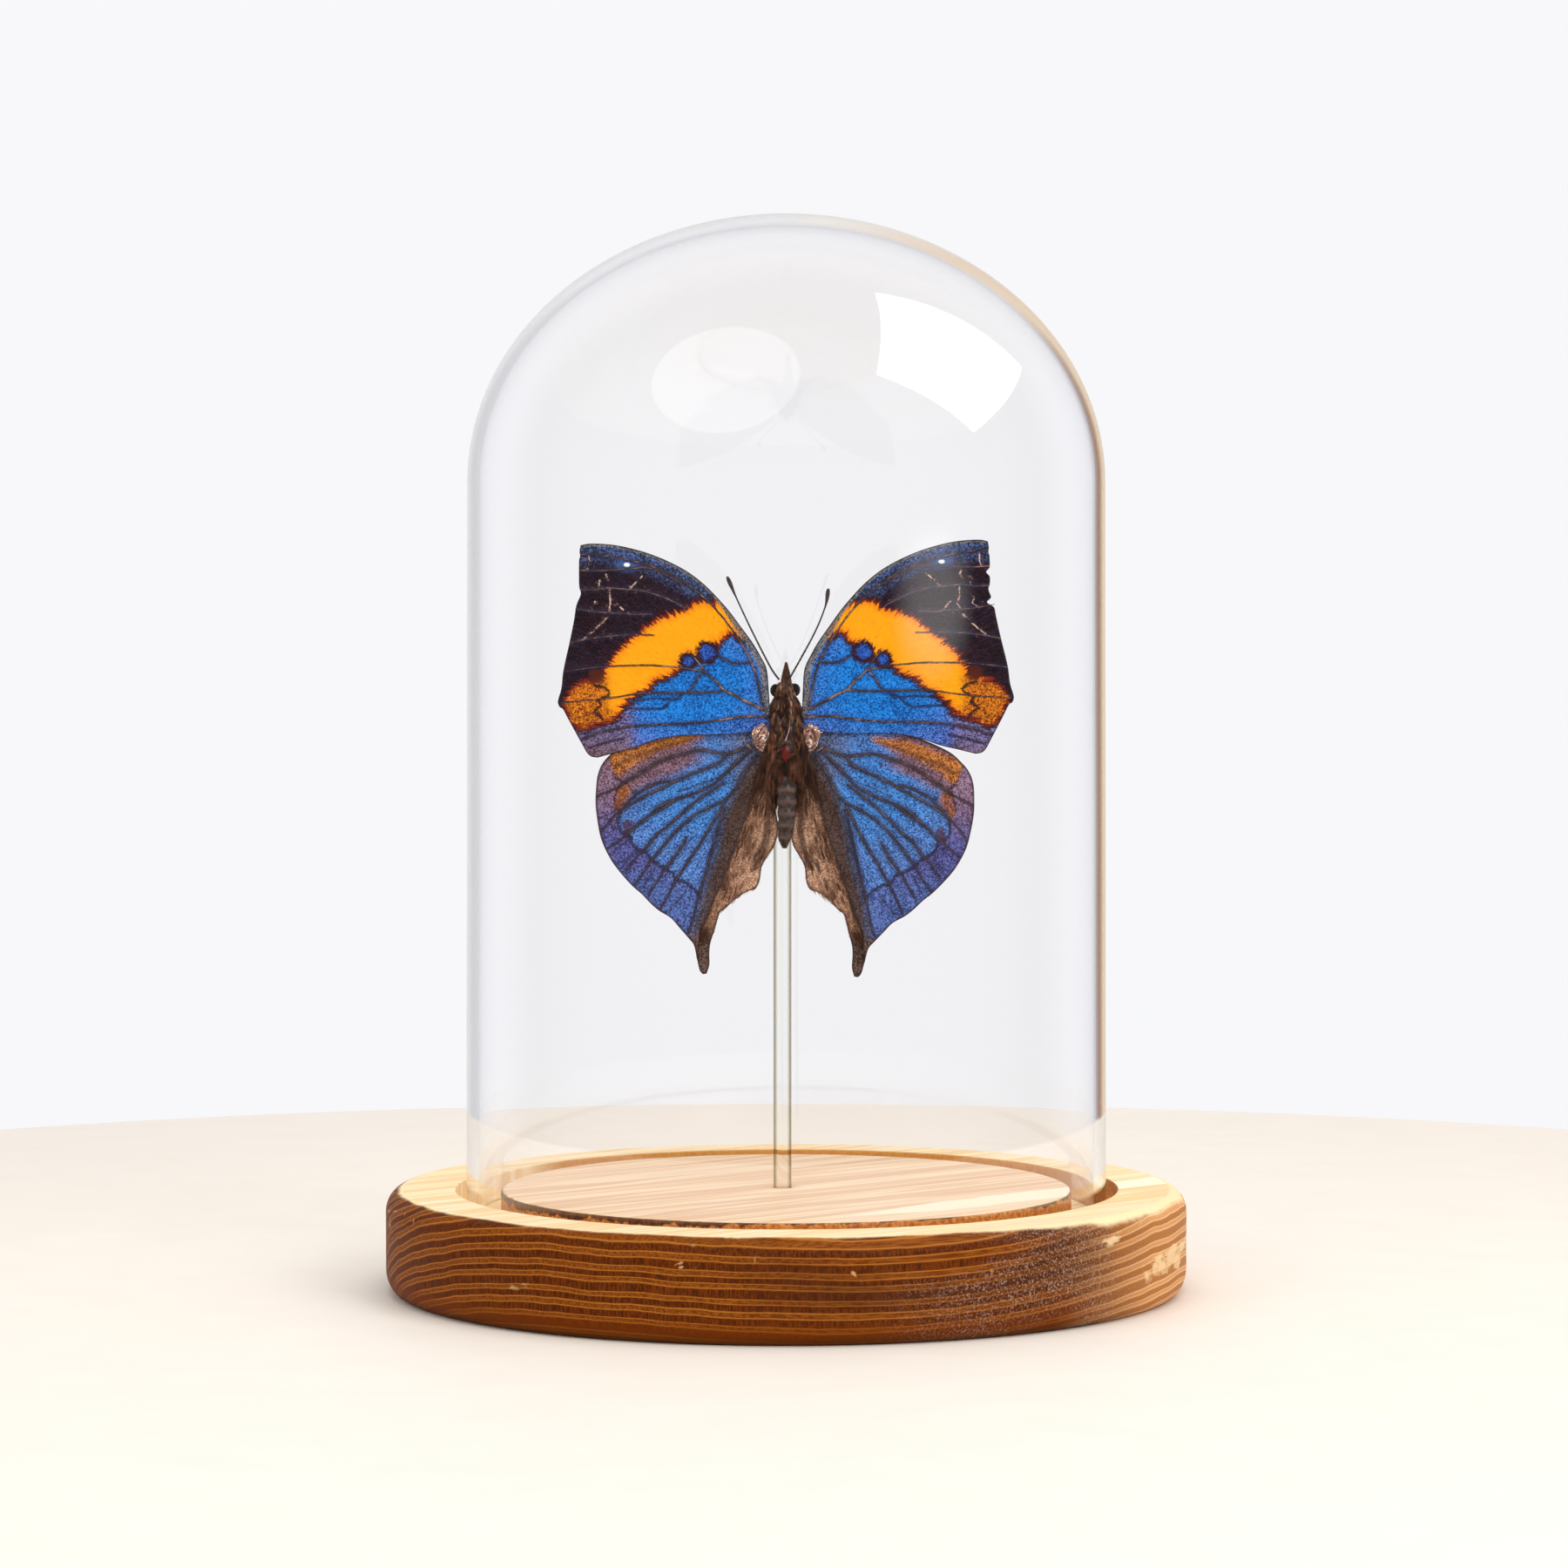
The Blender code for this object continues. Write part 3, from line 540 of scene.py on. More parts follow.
def hairs(roots, leans, lengths, radius, droop, rng):
    """Three-sided hairs. At the fraction t a hair's middle is root + length (t lean + t^2 droop), and
    its radius shrinks as 1 - t^1.5 down to a closed point."""
    count = len(roots)
    across = np.cross(leans, rng.normal(size=(count, 3)))
    across /= np.linalg.norm(across, axis=1)[:, None]
    third = np.cross(leans, across)
    third /= np.linalg.norm(third, axis=1)[:, None]
    shares = np.array([0.0, 0.55, 1.0])
    reach = lengths[:, None, None] * (shares[None, :, None] * leans[:, None]
                                      + shares[None, :, None]**2 * droop)
    middles = roots[:, None] + reach
    angles = np.linspace(0.0, math.tau, 3, endpoint=False)
    section = (np.cos(angles)[None, :, None] * across[:, None]
               + np.sin(angles)[None, :, None] * third[:, None])
    size = radius * (1 - shares[:2]**1.5)
    rings = middles[:, :2, None] + size[None, :, None, None] * section[:, None]
    points = np.concatenate((rings.reshape(count, 6, 3), middles[:, 2:]), axis=1)
    first = np.arange(count)[:, None] * HAIR_POINTS
    sides = np.concatenate([first + [[k, (k + 1) % 3, 3 + (k + 1) % 3, 3 + k]] for k in range(3)])
    tips = np.concatenate([first + [[3 + k, 3 + (k + 1) % 3, 6]] for k in range(3)]
                          + [first + [[2, 1, 0]]])
    return points.reshape(-1, 3), [sides, tips]


# Node helpers ----------------------------------------------------------------------------------------
def tone(code):
    """A colour written as six hex digits, in linear light."""
    parts = np.array([int(code[k:k + 2], 16) for k in (1, 3, 5)]) / 255.0
    linear = np.where(parts <= 0.04045, parts / 12.92, ((parts + 0.055) / 1.055) ** 2.4)
    return (*linear.tolist(), 1.0)


class Graph:
    """Short calls that add a node to a tree, set it up and wire its inputs."""

    def __init__(self, tree):
        self.tree = tree

    def feed(self, socket, value):
        """Wire an output in, or set a plain value or a colour's six hex digits."""
        if isinstance(value, bpy.types.NodeSocket):
            self.tree.links.new(value, socket)
        else:
            socket.default_value = tone(value) if isinstance(value, str) else value

    def add(self, kind, inputs=None, **settings):
        made = self.tree.nodes.new(kind)
        for key, value in settings.items():
            setattr(made, key, value)
        for key, value in (inputs or {}).items():
            self.feed(made.inputs[key], value)
        return made

    def math(self, operation, first, second=0.0):
        return self.add("ShaderNodeMath", {0: first, 1: second}, operation=operation).outputs[0]

    def plus(self, first, second):
        return self.math("ADD", first, second)

    def minus(self, first, second):
        return self.math("SUBTRACT", first, second)

    def times(self, first, second):
        return self.math("MULTIPLY", first, second)

    def size(self, value):
        return self.math("ABSOLUTE", value)

    def span(self, value, low, high, start=0.0, end=1.0):
        """Smooth step of a value from start at low to end at high."""
        return self.add("ShaderNodeMapRange", {0: value, 1: low, 2: high, 3: start, 4: end},
                        interpolation_type="SMOOTHSTEP").outputs[0]

    def mix(self, share, first, second):
        return self.add("ShaderNodeMix", {0: share, 6: first, 7: second}, data_type="RGBA").outputs[2]

    def blend(self, first, second, field, *band):
        """From the first colour to the second as a field goes through the band of span."""
        return self.mix(self.span(field, *band), first, second)

    def finish(self, shader, color, height=None, strength=0.0, distance=0.0):
        """Wire a colour to a shader, and a height to its normal as a bump."""
        self.feed(shader.inputs["Base Color"], color)
        if height is not None:
            self.feed(shader.inputs["Normal"], self.bump(height, strength, distance))

    def value(self, name):
        return self.add("ShaderNodeAttribute", attribute_name=name).outputs["Fac"]

    def place(self, scale=(1.0, 1.0, 1.0), turn=0.0, flow=False):
        """Object coordinates, or the flow map, turned about Z and then stretched."""
        source = self.add("ShaderNodeTexCoord").outputs["UV" if flow else "Object"]
        if turn:
            turned = self.add("ShaderNodeMapping", {"Vector": source, "Rotation": (0.0, 0.0, turn)})
            source = turned.outputs[0]
        return self.add("ShaderNodeMapping", {"Vector": source, "Scale": scale}).outputs[0]

    def noise(self, vector, scale, detail=2.0, roughness=0.5, distortion=0.0):
        return self.add("ShaderNodeTexNoise", {
            "Vector": vector, "Scale": scale, "Detail": detail, "Roughness": roughness,
            "Distortion": distortion}).outputs[0]

    def cells(self, vector, scale, output="Color"):
        return self.add("ShaderNodeTexVoronoi", {"Vector": vector, "Scale": scale}).outputs[output]

    def bump(self, height, strength, distance):
        return self.add("ShaderNodeBump", {"Height": height, "Strength": strength,
                                           "Distance": distance}).outputs[0]

    def use(self, group, **inputs):
        """A placed group. Input names are written with underscores for spaces."""
        made = self.add("ShaderNodeGroup", node_tree=group)
        for key, value in inputs.items():
            self.feed(made.inputs[key.replace("_", " ")], value)
        return made.outputs


def new_group(name, inputs, outputs):
    """An empty shader group with named sockets. Returns it, its graph, its inputs and its end."""
    group = bpy.data.node_groups.new(name, "ShaderNodeTree")
    for label, kind, value in inputs:
        socket = group.interface.new_socket(label, in_out="INPUT", socket_type="NodeSocket" + kind)
        socket.default_value = value
    for label, kind in outputs:
        group.interface.new_socket(label, in_out="OUTPUT", socket_type="NodeSocket" + kind)
    graph = Graph(group)
    return group, graph, graph.add("NodeGroupInput").outputs, graph.add("NodeGroupOutput")


def new_material(name, **plain):
    """A material with one Principled shader and plain values on its sockets."""
    made = bpy.data.materials.new(name)
    made.use_nodes = True
    shader = made.node_tree.nodes["Principled BSDF"]
    for key, value in plain.items():
        shader.inputs[key.replace("_", " ")].default_value = value
    return made, Graph(made.node_tree), shader


# Shared groups ---------------------------------------------------------------------------------------
def make_scale_speckle():
    """Wing scales: small cells and finer grain between a dark and a light colour."""
    group, g, given, end = new_group(
        "scale_speckle",
        [("Dark", "Color", (0, 0, 0, 1)), ("Light", "Color", (1, 1, 1, 1)), ("Size", "Float", 0.2),
         ("Balance", "Float", 0.5)],
        [("Color", "Color"), ("Grain", "Float")],
    )
    scale = g.math("DIVIDE", 1.0 / MM, given["Size"])
    place = g.place()
    cell = g.add("ShaderNodeSeparateColor", {0: g.cells(place, scale)}).outputs[0]
    grain = g.noise(place, g.times(scale, 0.55), 2.0, 0.7)
    broad = g.noise(place, 260.0, 3.0, 0.6)
    total = g.plus(g.times(cell, 0.34), g.times(grain, 0.95))
    total = g.plus(total, g.times(broad, 0.30))
    low = g.minus(1.12, given["Balance"])
    grade = g.span(total, low, g.plus(low, 0.40))
    g.feed(end.inputs["Color"], g.mix(grade, given["Dark"], given["Light"]))
    g.feed(end.inputs["Grain"], grade)
    return group


def make_ragged():
    """A distance made uneven by streaks that follow the scale rows, and by fine grain."""
    group, g, given, end = new_group(
        "ragged_edge",
        [("Distance", "Float", 0.0), ("Streak", "Float", 0.6), ("Grain", "Float", 0.4)],
        [("Distance", "Float")],
    )
    fine = g.noise(g.place((30.0, 190.0, 1.0), flow=True), 1.0, 3.0, 0.6)
    coarse = g.noise(g.place((9.0, 60.0, 1.0), flow=True), 1.0, 2.0, 0.5)
    streak = g.times(g.plus(fine, coarse), 0.5)
    grain = g.noise(g.place(), 2600.0, 2.0, 0.6)
    streak = g.times(g.minus(streak, 0.5), g.times(given["Streak"], 7))
    grain = g.times(g.minus(grain, 0.5), g.times(given["Grain"], 3))
    g.feed(end.inputs[0], g.plus(given["Distance"], g.plus(streak, grain)))
    return group


def make_growth_rings():
    """Growth rings of a softwood block, and its fibres.

    With t and s turned 19 degrees from X and Y, a point's distance from the curved pith is the root
    of (s + 40.7)^2 + (z + 108 - 0.036 t + 0.00047 t^2)^2. Each ring darkens slowly and ends sharply.
    """
    group, g, given, end = new_group(
        "growth_rings", [("Spacing", "Float", 2.8), ("Wobble", "Float", 0.3)],
        [("Ring", "Float"), ("Line", "Float"), ("Fibre", "Float"), ("Broad", "Float")],
    )
    turned = g.place((1 / MM, 1 / MM, 1 / MM), turn=RING_GRAIN)
    t, s, z = g.add("ShaderNodeSeparateXYZ", {0: turned}).outputs
    sunk = g.plus(g.plus(z, PITH_DROP), g.times(t, PITH_SLOPE))
    sunk = g.plus(sunk, g.times(g.times(t, t), PITH_BEND))
    outward = g.plus(s, PITH_OUT)
    squares = g.plus(g.times(sunk, sunk), g.times(outward, outward))
    radius = g.math("SQRT", squares)
    sway = g.noise(g.place((14.0, 80.0, 80.0), turn=RING_GRAIN), 1.0, 2.0, 0.5)
    sway = g.plus(sway, g.times(g.noise(g.place(), 170.0, 1.0), 0.18))
    radius = g.plus(radius, g.times(g.minus(sway, 0.59), g.times(given["Wobble"], 5.0)))
    uneven = g.add("ShaderNodeTexNoise", {"W": g.times(radius, 0.17), "Scale": 1.0, "Detail": 2.0},
                   noise_dimensions="1D").outputs[0]
    phase = g.math("FRACT", g.plus(g.math("DIVIDE", radius, given["Spacing"]), uneven))
    late = g.times(g.span(phase, 0.06, 0.16), g.span(phase, 0.64, 0.52))
    below = g.span(g.size(g.minus(phase, 0.05)), 0.055, 0.02)
    above = g.span(g.size(g.minus(phase, 0.66)), 0.065, 0.02)
    line = g.math("MAXIMUM", below, above)
    fibre = g.noise(g.place((140.0, 2600.0, 2600.0), turn=RING_GRAIN), 1.0, 4.0, 0.65)
    broad = g.noise(g.place((14.0, 70.0, 70.0), turn=RING_GRAIN), 1.0, 3.0, 0.5)
    for label, result in (("Ring", late), ("Line", line), ("Fibre", fibre), ("Broad", broad)):
        g.feed(end.inputs[label], result)
    return group


def make_plank_lines():
    """Lines of a board's flat face: contour lines of a noise stretched along the grain."""
    group, g, _, end = new_group("plank_lines", [], [("Line", "Float"), ("Shade", "Float")])
    field = g.noise(g.place((4.5, 105.0, 1.0), turn=BOARD_GRAIN), 1.0, 2.0, 0.55)
    waves = g.math("FRACT", g.times(field, 7.0))
    streak = g.noise(g.place((9.0, 900.0, 1.0), turn=BOARD_GRAIN), 1.0, 3.0, 0.6)
    g.feed(end.inputs["Line"], g.span(g.size(g.minus(waves, 0.5)), 0.30, 0.08))
    g.feed(end.inputs["Shade"], g.plus(g.times(streak, 0.6), g.times(field, 0.4)))
    return group


def make_wear():
    """Small nicks and scuffs: the peaks of a noise. A smaller amount leaves fewer of them."""
    group, g, given, end = new_group(
        "wear_marks", [("Scale", "Float", 160.0), ("Amount", "Float", 0.3)], [("Mark", "Float")],
    )
    peaks = g.noise(g.place(), given["Scale"], 4.0, 0.65, 0.6)
    edge = g.minus(0.78, g.times(given["Amount"], 0.3))
    g.feed(end.inputs[0], g.span(peaks, edge, g.plus(edge, 0.05)))
    return group


def make_hair_tint():
    """Colour of a hair: from the root colour to the tip colour by the hair's own shade, a glint on
    the lightest, and darker patches."""
    group, g, given, end = new_group(
        "hair_tint",
        [("Root", "Color", (0, 0, 0, 1)), ("Tip", "Color", (1, 1, 1, 1)), ("Glint", "Color", (1, 1, 1, 1))],
        [("Color", "Color")],
    )
    shade = g.value("shade")
    color = g.blend(given["Root"], given["Tip"], shade, 0.1, 0.95)
    color = g.mix(g.times(g.span(shade, 0.9, 1.0), 0.8), color, given["Glint"])
    patch = g.noise(g.place(), 420.0, 2.0, 0.5)
    g.feed(end.inputs[0], g.blend(color, given["Root"], patch, 0.62, 0.3, 0.0, 0.55))
    return group


# Wing finishes ---------------------------------------------------------------------------------------
def wing_calls(g, speckle, ragged):
    """The two calls that a wing is painted with: speckled scales, and a field made uneven."""
    def scales(dark, light, balance=0.5, size=SCALE_SIZE):
        return g.use(speckle, Dark=dark, Light=light, Size=size, Balance=balance)

    def uneven(name, streak=0.6, grain=0.4):
        return g.use(ragged, Distance=g.value(name), Streak=streak, Grain=grain)[0]

    return scales, uneven


def apex_tip(g, scales, uneven):
    """The dark apex: plum streaks, a violet sheen under the costa, and copper grain and glints."""
    streaks = g.noise(g.place((6.0, 160.0, 1.0), flow=True), 1.0, 3.0, 0.6)
    plum = scales("#080205", "#391623", balance=0.42)[0]
    plum = g.blend(plum, "#2d2042", streaks, 0.5, 0.66, 0.0, 0.5)
    sheen = scales("#16202e", "#5b6da6", balance=0.45)[0]
    tip = g.blend(plum, sheen, uneven("strip", 0.3), 5.0, 1.8)
    glint = g.size(uneven("glint", 0.05, 0.1))
    grit = g.plus(g.noise(g.place(), 1500.0, 3.0, 0.75), g.span(glint, 1.4, 0.0, 0.0, 0.13))
    tip = g.mix(g.times(g.span(grit, 0.68, 0.74), 0.6), tip, "#7c5c55")
    broken = g.span(g.noise(g.place(), 900.0, 3.0, 0.7), 0.43, 0.53)
    broken = g.times(g.span(glint, 0.2, 0.06), broken)
    return g.mix(g.times(broken, 0.9), tip, "#dfbaa4")


def band_glow(g, scales, band):
    """The orange inside the band: streaked, redder at its edge, and burnt towards the outer margin."""
    streaks = g.noise(g.place((30.0, 320.0, 1.0), flow=True), 1.0, 3.0)
    glow = g.blend("#ee9200", "#fba902", streaks, 0.3, 0.7)
    glow = g.blend(glow, "#e87c00", band, 1.3, 0.2, 0.0, 0.7)
    ochre = g.value("ochre")
    glow = g.blend(glow, scales("#6a2602", "#ea8712", balance=0.52)[0], ochre, 0.0, 0.7)
    soot = g.plus(g.noise(g.place(), 1700.0, 3.0, 0.8), g.times(ochre, 0.10))
    return g.blend(glow, "#4a1c08", soot, 0.62, 0.76, 0.0, 0.85)


def make_forewing_finish(speckle, ragged):
    """Upper side of the forewing: blue with an orange band, two ringed spots and a dark apex."""
    made, g, shader = new_material("forewing_upper_scales", Roughness=0.6, Specular_IOR_Level=0.12)
    scales, uneven = wing_calls(g, speckle, ragged)
    blue = scales("#003a80", "#1e8ae6", balance=0.52)
    color = g.mix(g.value("violet"), blue[0], scales("#262a5e", "#6f7bd0")[0])
    color = g.blend(color, scales("#3c2b3c", "#8682bd")[0], uneven("dusk", 0.5), -0.6, 2.6)
    color = g.blend(color, scales("#47323a", "#85697a")[0], uneven("tornus", 0.5), -2.2, 2.8)
    # darker along the fold lines: painted shade in the creases
    fold = g.size(uneven("fold", 0.08, 0.12))
    color = g.blend(color, "#1c1530", fold, 0.5, 0.05, 0.0, 0.8)
    color = g.blend(color, apex_tip(g, scales, uneven), g.value("apex"), -0.4, 0.4)
    # orange band in a maroon border
    band = uneven("band", 0.7, 0.5)
    color = g.blend(color, "#200b12", band, -1.6, -0.8)
    color = g.blend(color, "#84260a", band, -0.9, -0.1)
    color = g.blend(color, band_glow(g, scales, band), band, -0.12, 0.12)
    color = g.blend(color, "#4f1d0c", uneven("blot", 0.4, 0.4), 0.5, -0.3, 0.0, 0.85)
    spot = uneven("spot", 0.35, 0.5)
    color = g.blend(color, "#2c0b14", spot, 1.15, 0.6)
    color = g.blend(color, scales("#10296c", "#2f66c8")[0], spot, 0.25, -0.3)
    hook = g.size(uneven("hook", 0.12, 0.2))
    color = g.blend(color, "#35130c", hook, 0.42, 0.14, 0.0, 0.95)
    # bronze strip along the costa, and a pale spot near the tip
    reach = g.math("DIVIDE", uneven("strip", 0.15, 0.2), g.value("strip_width"))
    color = g.blend(color, scales("#383838", "#8a8884")[0], reach, 1.15, 0.7, 0.0, 0.92)
    pale = g.plus(g.value("pale"), g.times(g.noise(g.place(), 1500.0), 0.25))
    color = g.blend(color, "#3f6fb4", pale, 2.2, 0.6, 0.0, 0.45)
    color = g.blend(color, "#ffffff", pale, 0.62, 0.38)
    vein = g.size(uneven("vein", 0.06, 0.1))
    halo = g.times(g.span(vein, 0.9, 0.15, 0.0, 0.5), g.span(band, 0.2, -0.4))
    color = g.mix(halo, color, "#1d1d3c")
    color = g.blend(color, "#2e1b1c", vein, 0.30, 0.1, 0.0, 0.8)
    color = g.blend(color, "#2b2224", uneven("edge", 0.05, 0.1), 0.32, 0.1, 0.0, 0.85)
    height = g.plus(blue["Grain"], g.span(vein, 0.5, 0.0, 0.0, 3.0))
    g.finish(shader, color, height, 0.35, 0.00005)
    return made


def brown_fold(g, color, scales, uneven):
    """The grey strip, dark strip and brown fold that follow each other towards the body. The dark strip,
    the dark line along the crease and the dark furrow are painted shade, and the brown's lightening away
    from the crease is partly painted light.
    """
    color = g.mix(g.times(g.value("near"), 0.75), color, scales("#34323f", "#6f7590")[0])
    inner = g.plus(uneven("inner", 0.7, 0.35), 0.7)
    color = g.blend(color, scales("#2d2830", "#5f5f74")[0], inner, -0.7, 0.6)
    # the dark strip beside the crease: painted shade, where the fold turns steeply back
    color = g.blend(color, scales("#32211c", "#604b45")[0], inner, 0.6, 1.6)
    fold = uneven("crease", 0.35, 0.25)
    brown, light = scales("#64412f", "#b0866a")[0], scales("#8c644b", "#d8b092")[0]
    # the brown grows lighter away from the crease: partly the fur's own paler inner edge, partly painted
    # light where the fold faces forward
    color = g.blend(color, g.blend(brown, light, g.value("crease"), 0.0, 5.5), fold, -0.2, 0.7)
    # a dark line along the crease and a dark furrow near the body: painted shade
    color = g.blend(color, "#2c1c17", g.size(fold), 0.5, 0.1, 0.0, 0.7)
    color = g.blend(color, "#33221b", g.size(uneven("furrow", 0.3, 0.2)), 1.0, 0.2, 0.0, 0.75)
    return g.blend(color, scales("#2e211c", "#7d6356")[0], uneven("tail", 0.5), -0.8, 1.0)


def make_hindwing_finish(speckle, ragged):
    """Upper side of the hindwing: blue to violet, gold near the tip, and a furry brown fold."""
    made, g, shader = new_material("hindwing_upper_scales", Roughness=0.6, Specular_IOR_Level=0.12)
    scales, uneven = wing_calls(g, speckle, ragged)
    azure = scales("#183c72", "#509aec", balance=0.54)
    color = g.mix(g.value("azure"), scales("#2c437a", "#689cea")[0], azure[0])
    rays = g.noise(g.place((5.0, 120.0, 1.0), flow=True), 1.0, 3.0, 0.6)
    color = g.blend(color, "#2c2c4c", rays, 0.54, 0.36, 0.0, 0.45)
    color = g.blend(color, scales("#472d34", "#937182")[0], uneven("umber", 0.8), -1.2, 1.6)
    # outside the scalloped line
    outer = g.mix(g.value("rosy"), scales("#2e2b56", "#666ab0")[0], scales("#523742", "#a0829f")[0])
    outer = g.mix(g.value("low"), outer, scales("#29396a", "#6085cc")[0])
    rim = uneven("scallop", 0.25, 0.3)
    color = g.blend(color, outer, rim, -0.25, 0.25)
    color = g.blend(color, "#261b30", g.size(g.plus(rim, 0.1)), 0.55, 0.15, 0.0, 0.85)
    # gold patch and spots
    patch = uneven("gold", 0.4, 0.35)
    color = g.blend(color, scales("#6b360a", "#dc8c3e")[0], patch, -0.45, 0.45, 0.0, 0.92)
    shade = g.size(uneven("gold_shade", 0.15, 0.3))
    color = g.blend(color, "#4d2a1a", shade, 0.75, 0.15, 0.0, 0.6)
    spot = uneven("gold_spot", 0.35, 0.4)
    color = g.blend(color, scales("#5e2e08", "#b1682b")[0], spot, -0.5, 0.5, 0.0, 0.9)
    color = g.blend(color, "#47262f", uneven("maroon_spot", 0.3, 0.4), -0.4, 0.5, 0.0, 0.85)
    color = g.blend(color, "#241c40", g.value("dot"), 0.75, 0.3, 0.0, 0.75)
    color = brown_fold(g, color, scales, uneven)
    # darker along the fold lines: painted shade in the creases
    color = g.blend(color, "#2a2036", g.size(uneven("fold", 0.08, 0.12)), 0.36, 0.08, 0.0, 0.6)
    vein = g.size(uneven("vein", 0.06, 0.1))
    halo = g.times(g.span(vein, 1.1, 0.2, 0.0, 0.6), g.span(rim, 0.6, -0.4, 0.3, 1.0))
    color = g.mix(halo, color, "#2b2436")
    color = g.blend(color, "#2a1b20", vein, 0.40, 0.12, 0.0, 0.85)
    color = g.blend(color, "#3d2a26", uneven("edge", 0.08, 0.12), 0.55, 0.15, 0.0, 0.85)
    height = g.plus(azure["Grain"], g.span(vein, 0.5, 0.0, 0.0, 3.0))
    g.finish(shader, color, height, 0.35, 0.00005)
    return made


def make_underside_finish(speckle, ragged):
    """Underside of all four wings: dead-leaf brown with a dark midrib, ribs and mildew specks."""
    made, g, shader = new_material("dead_leaf_underside", Roughness=0.75)
    leaf = g.use(speckle, Dark="#6b4a2c", Light="#b98f5f", Size=0.3, Balance=0.5)
    blotch = g.noise(g.place(), 120.0, 4.0, 0.6)
    color = g.blend(leaf[0], "#7d6242", blotch, 0.42, 0.66, 0.0, 0.7)
    rib = g.size(g.use(ragged, Distance=g.value("rib"), Streak=0.1, Grain=0.15)[0])
    color = g.blend(color, "#4c3320", rib, 2.4, 0.3, 0.0, 0.4)
    color = g.blend(color, "#332014", rib, 0.5, 0.2)
    vein = g.size(g.value("vein"))
    color = g.blend(color, "#4a3423", vein, 0.4, 0.1, 0.0, 0.5)
    specks = g.noise(g.place(), 900.0, 3.0, 0.8)
    color = g.blend(color, "#2b1d14", specks, 0.66, 0.72, 0.0, 0.7)
    color = g.blend(color, "#3a2719", g.value("edge"), 0.5, 0.1, 0.0, 0.6)
    g.finish(shader, color, g.plus(leaf["Grain"], g.span(rib, 0.5, 0.0)), 0.4, 0.00006)
    return made


def make_vein_finish(name, dark, light, copper):
    """Veins: dark horn with broken copper light along them."""
    made, g, shader = new_material(name, Roughness=0.36, Metallic=copper)
    patches = g.noise(g.place(), 520.0, 3.0, 0.6)
    fine = g.noise(g.place(), 3200.0, 2.0, 0.7)
    total = g.plus(patches, g.times(g.minus(fine, 0.5), 0.6))
    g.finish(shader, g.blend(dark, light, total, 0.46, 0.72), fine, 0.4, 0.00003)
    return made


# Wings -----------------------------------------------------------------------------------------------
def forewing_sheet(rows, columns):
    """Coons patch: costa and hind margin are joined, and the outer margin's bulge is added as u^2."""
    costa = even_path(COSTA, rows)[:, None]
    hind = even_path(FOREWING_HIND, rows)[:, None]
    outer = even_path(FOREWING_OUTER, columns)[None]
    u = np.linspace(0.0, 1.0, rows)[:, None, None]
    v = np.linspace(0.0, 1.0, columns)[None, :, None]
    chord = (1 - v) * outer[:, :1] + v * outer[:, -1:]
    return (1 - v) * costa + v * hind + u**2 * (outer - chord)


def hindwing_sheet(rows, columns):
    """Straight rungs between the outer and the inner margin, (1 - v) outer + v inner."""
    v = np.linspace(0.0, 1.0, columns)[None, :, None]
    outer, inner = (even_path(line, rows)[:, None] for line in (HINDWING_OUTER, HINDWING_INNER))
    return (1 - v) * outer + v * inner


def wing_depth(flat, wing, vein, fold):
    """Y of a wing: forward with distance from the body and back inside the anal crease, set back a
    little between veins and in its folds, with a faint long ripple."""
    depth = wing["start_y"] - DIHEDRAL * (np.abs(flat[:, 0]) - 3.3)
    if wing is HINDWING:
        inside = from_line(flat, ANAL_CREASE)[0]
        depth += ANAL_FOLD_DEPTH * ease(inside, 0.0, 3.0)
    depth += 0.13 * (1 - np.exp(-(vein / 0.8) ** 2)) + 0.10 * np.exp(-(fold / 0.3) ** 2)
    return depth + 0.07 * np.sin(0.55 * flat[:, 0] + 0.31 * flat[:, 1]) * np.sin(0.23 * flat[:, 1] + 1.0)


def placed(flat, depth, wing, side):
    """Flat points and their depth at the wing's real place: mirrored for the right side and turned
    about the root."""
    angle = math.radians(wing["turn"]) if side > 0 else 0.0
    root_x, root_z = wing["root"]
    x = (flat[:, 0] - root_x) * -side
    z = flat[:, 1] - root_z
    return np.stack([-side * root_x + x * math.cos(angle) - z * math.sin(angle), depth,
                     root_z + x * math.sin(angle) + z * math.cos(angle)], axis=1)


def edge_distance(sheet):
    """Distance to the wing's outer margins, taken along the grid from its outermost points."""
    points = sheet.reshape(-1, 2)
    border = np.concatenate((sheet[:, 0], sheet[-1], sheet[::-1, -1]))
    return np.abs(from_line(points, border[::6])[0])


def forewing_fields(sheet):
    """Distances in millimetres, and shares from 0 to 1, that the forewing's finish is drawn from."""
    p = sheet.reshape(-1, 2)
    x, z = p.T
    spots = [np.hypot(x - sx, z - sz) - r for sx, sz, r in SPOTS]
    strip = np.abs(from_line(p, COSTA)[0])
    return {
        "band": from_outline(p, BAND),
        "apex": -from_line(p, BAND_AXIS)[0],
        "spot": np.min(spots, axis=0),
        "hook": from_lines(p, HOOKS),
        "vein": from_lines(p, [line for _, _, line in FOREWING_VEINS]),
        "fold": from_lines(p, FOREWING_FOLDS),
        "glint": from_lines(p, FOREWING_GLINTS + [v[2] for v in FOREWING_VEINS[-4:]]),
        "rib": from_lines(p, FOREWING_RIBS),
        "strip": strip,
        "strip_width": 0.55 + 0.85 * ease(z, 131.0, 120.0),
        "edge": edge_distance(sheet),
        "pale": np.hypot((x + 29.4) / 1.5, z - 135.7),
        "blot": np.hypot(x + 35.0, z - 115.0) - 1.4,
        "violet": 0.75 * ease(np.hypot(x + 17.5, (z - 113.5) * 1.3), 7.0, 20.0),
        "dusk": np.minimum(-27.5 - x, 111.0 - z),
        "tornus": np.minimum(-29.0 - x, 103.6 - z),
        "ochre": ease(-x, 30.5, 36.5) * ease(z, 117.0, 113.5) + 0.6 * ease(z, 110.0, 106.0)
        * ease(-x, 28.0, 33.0),
    }


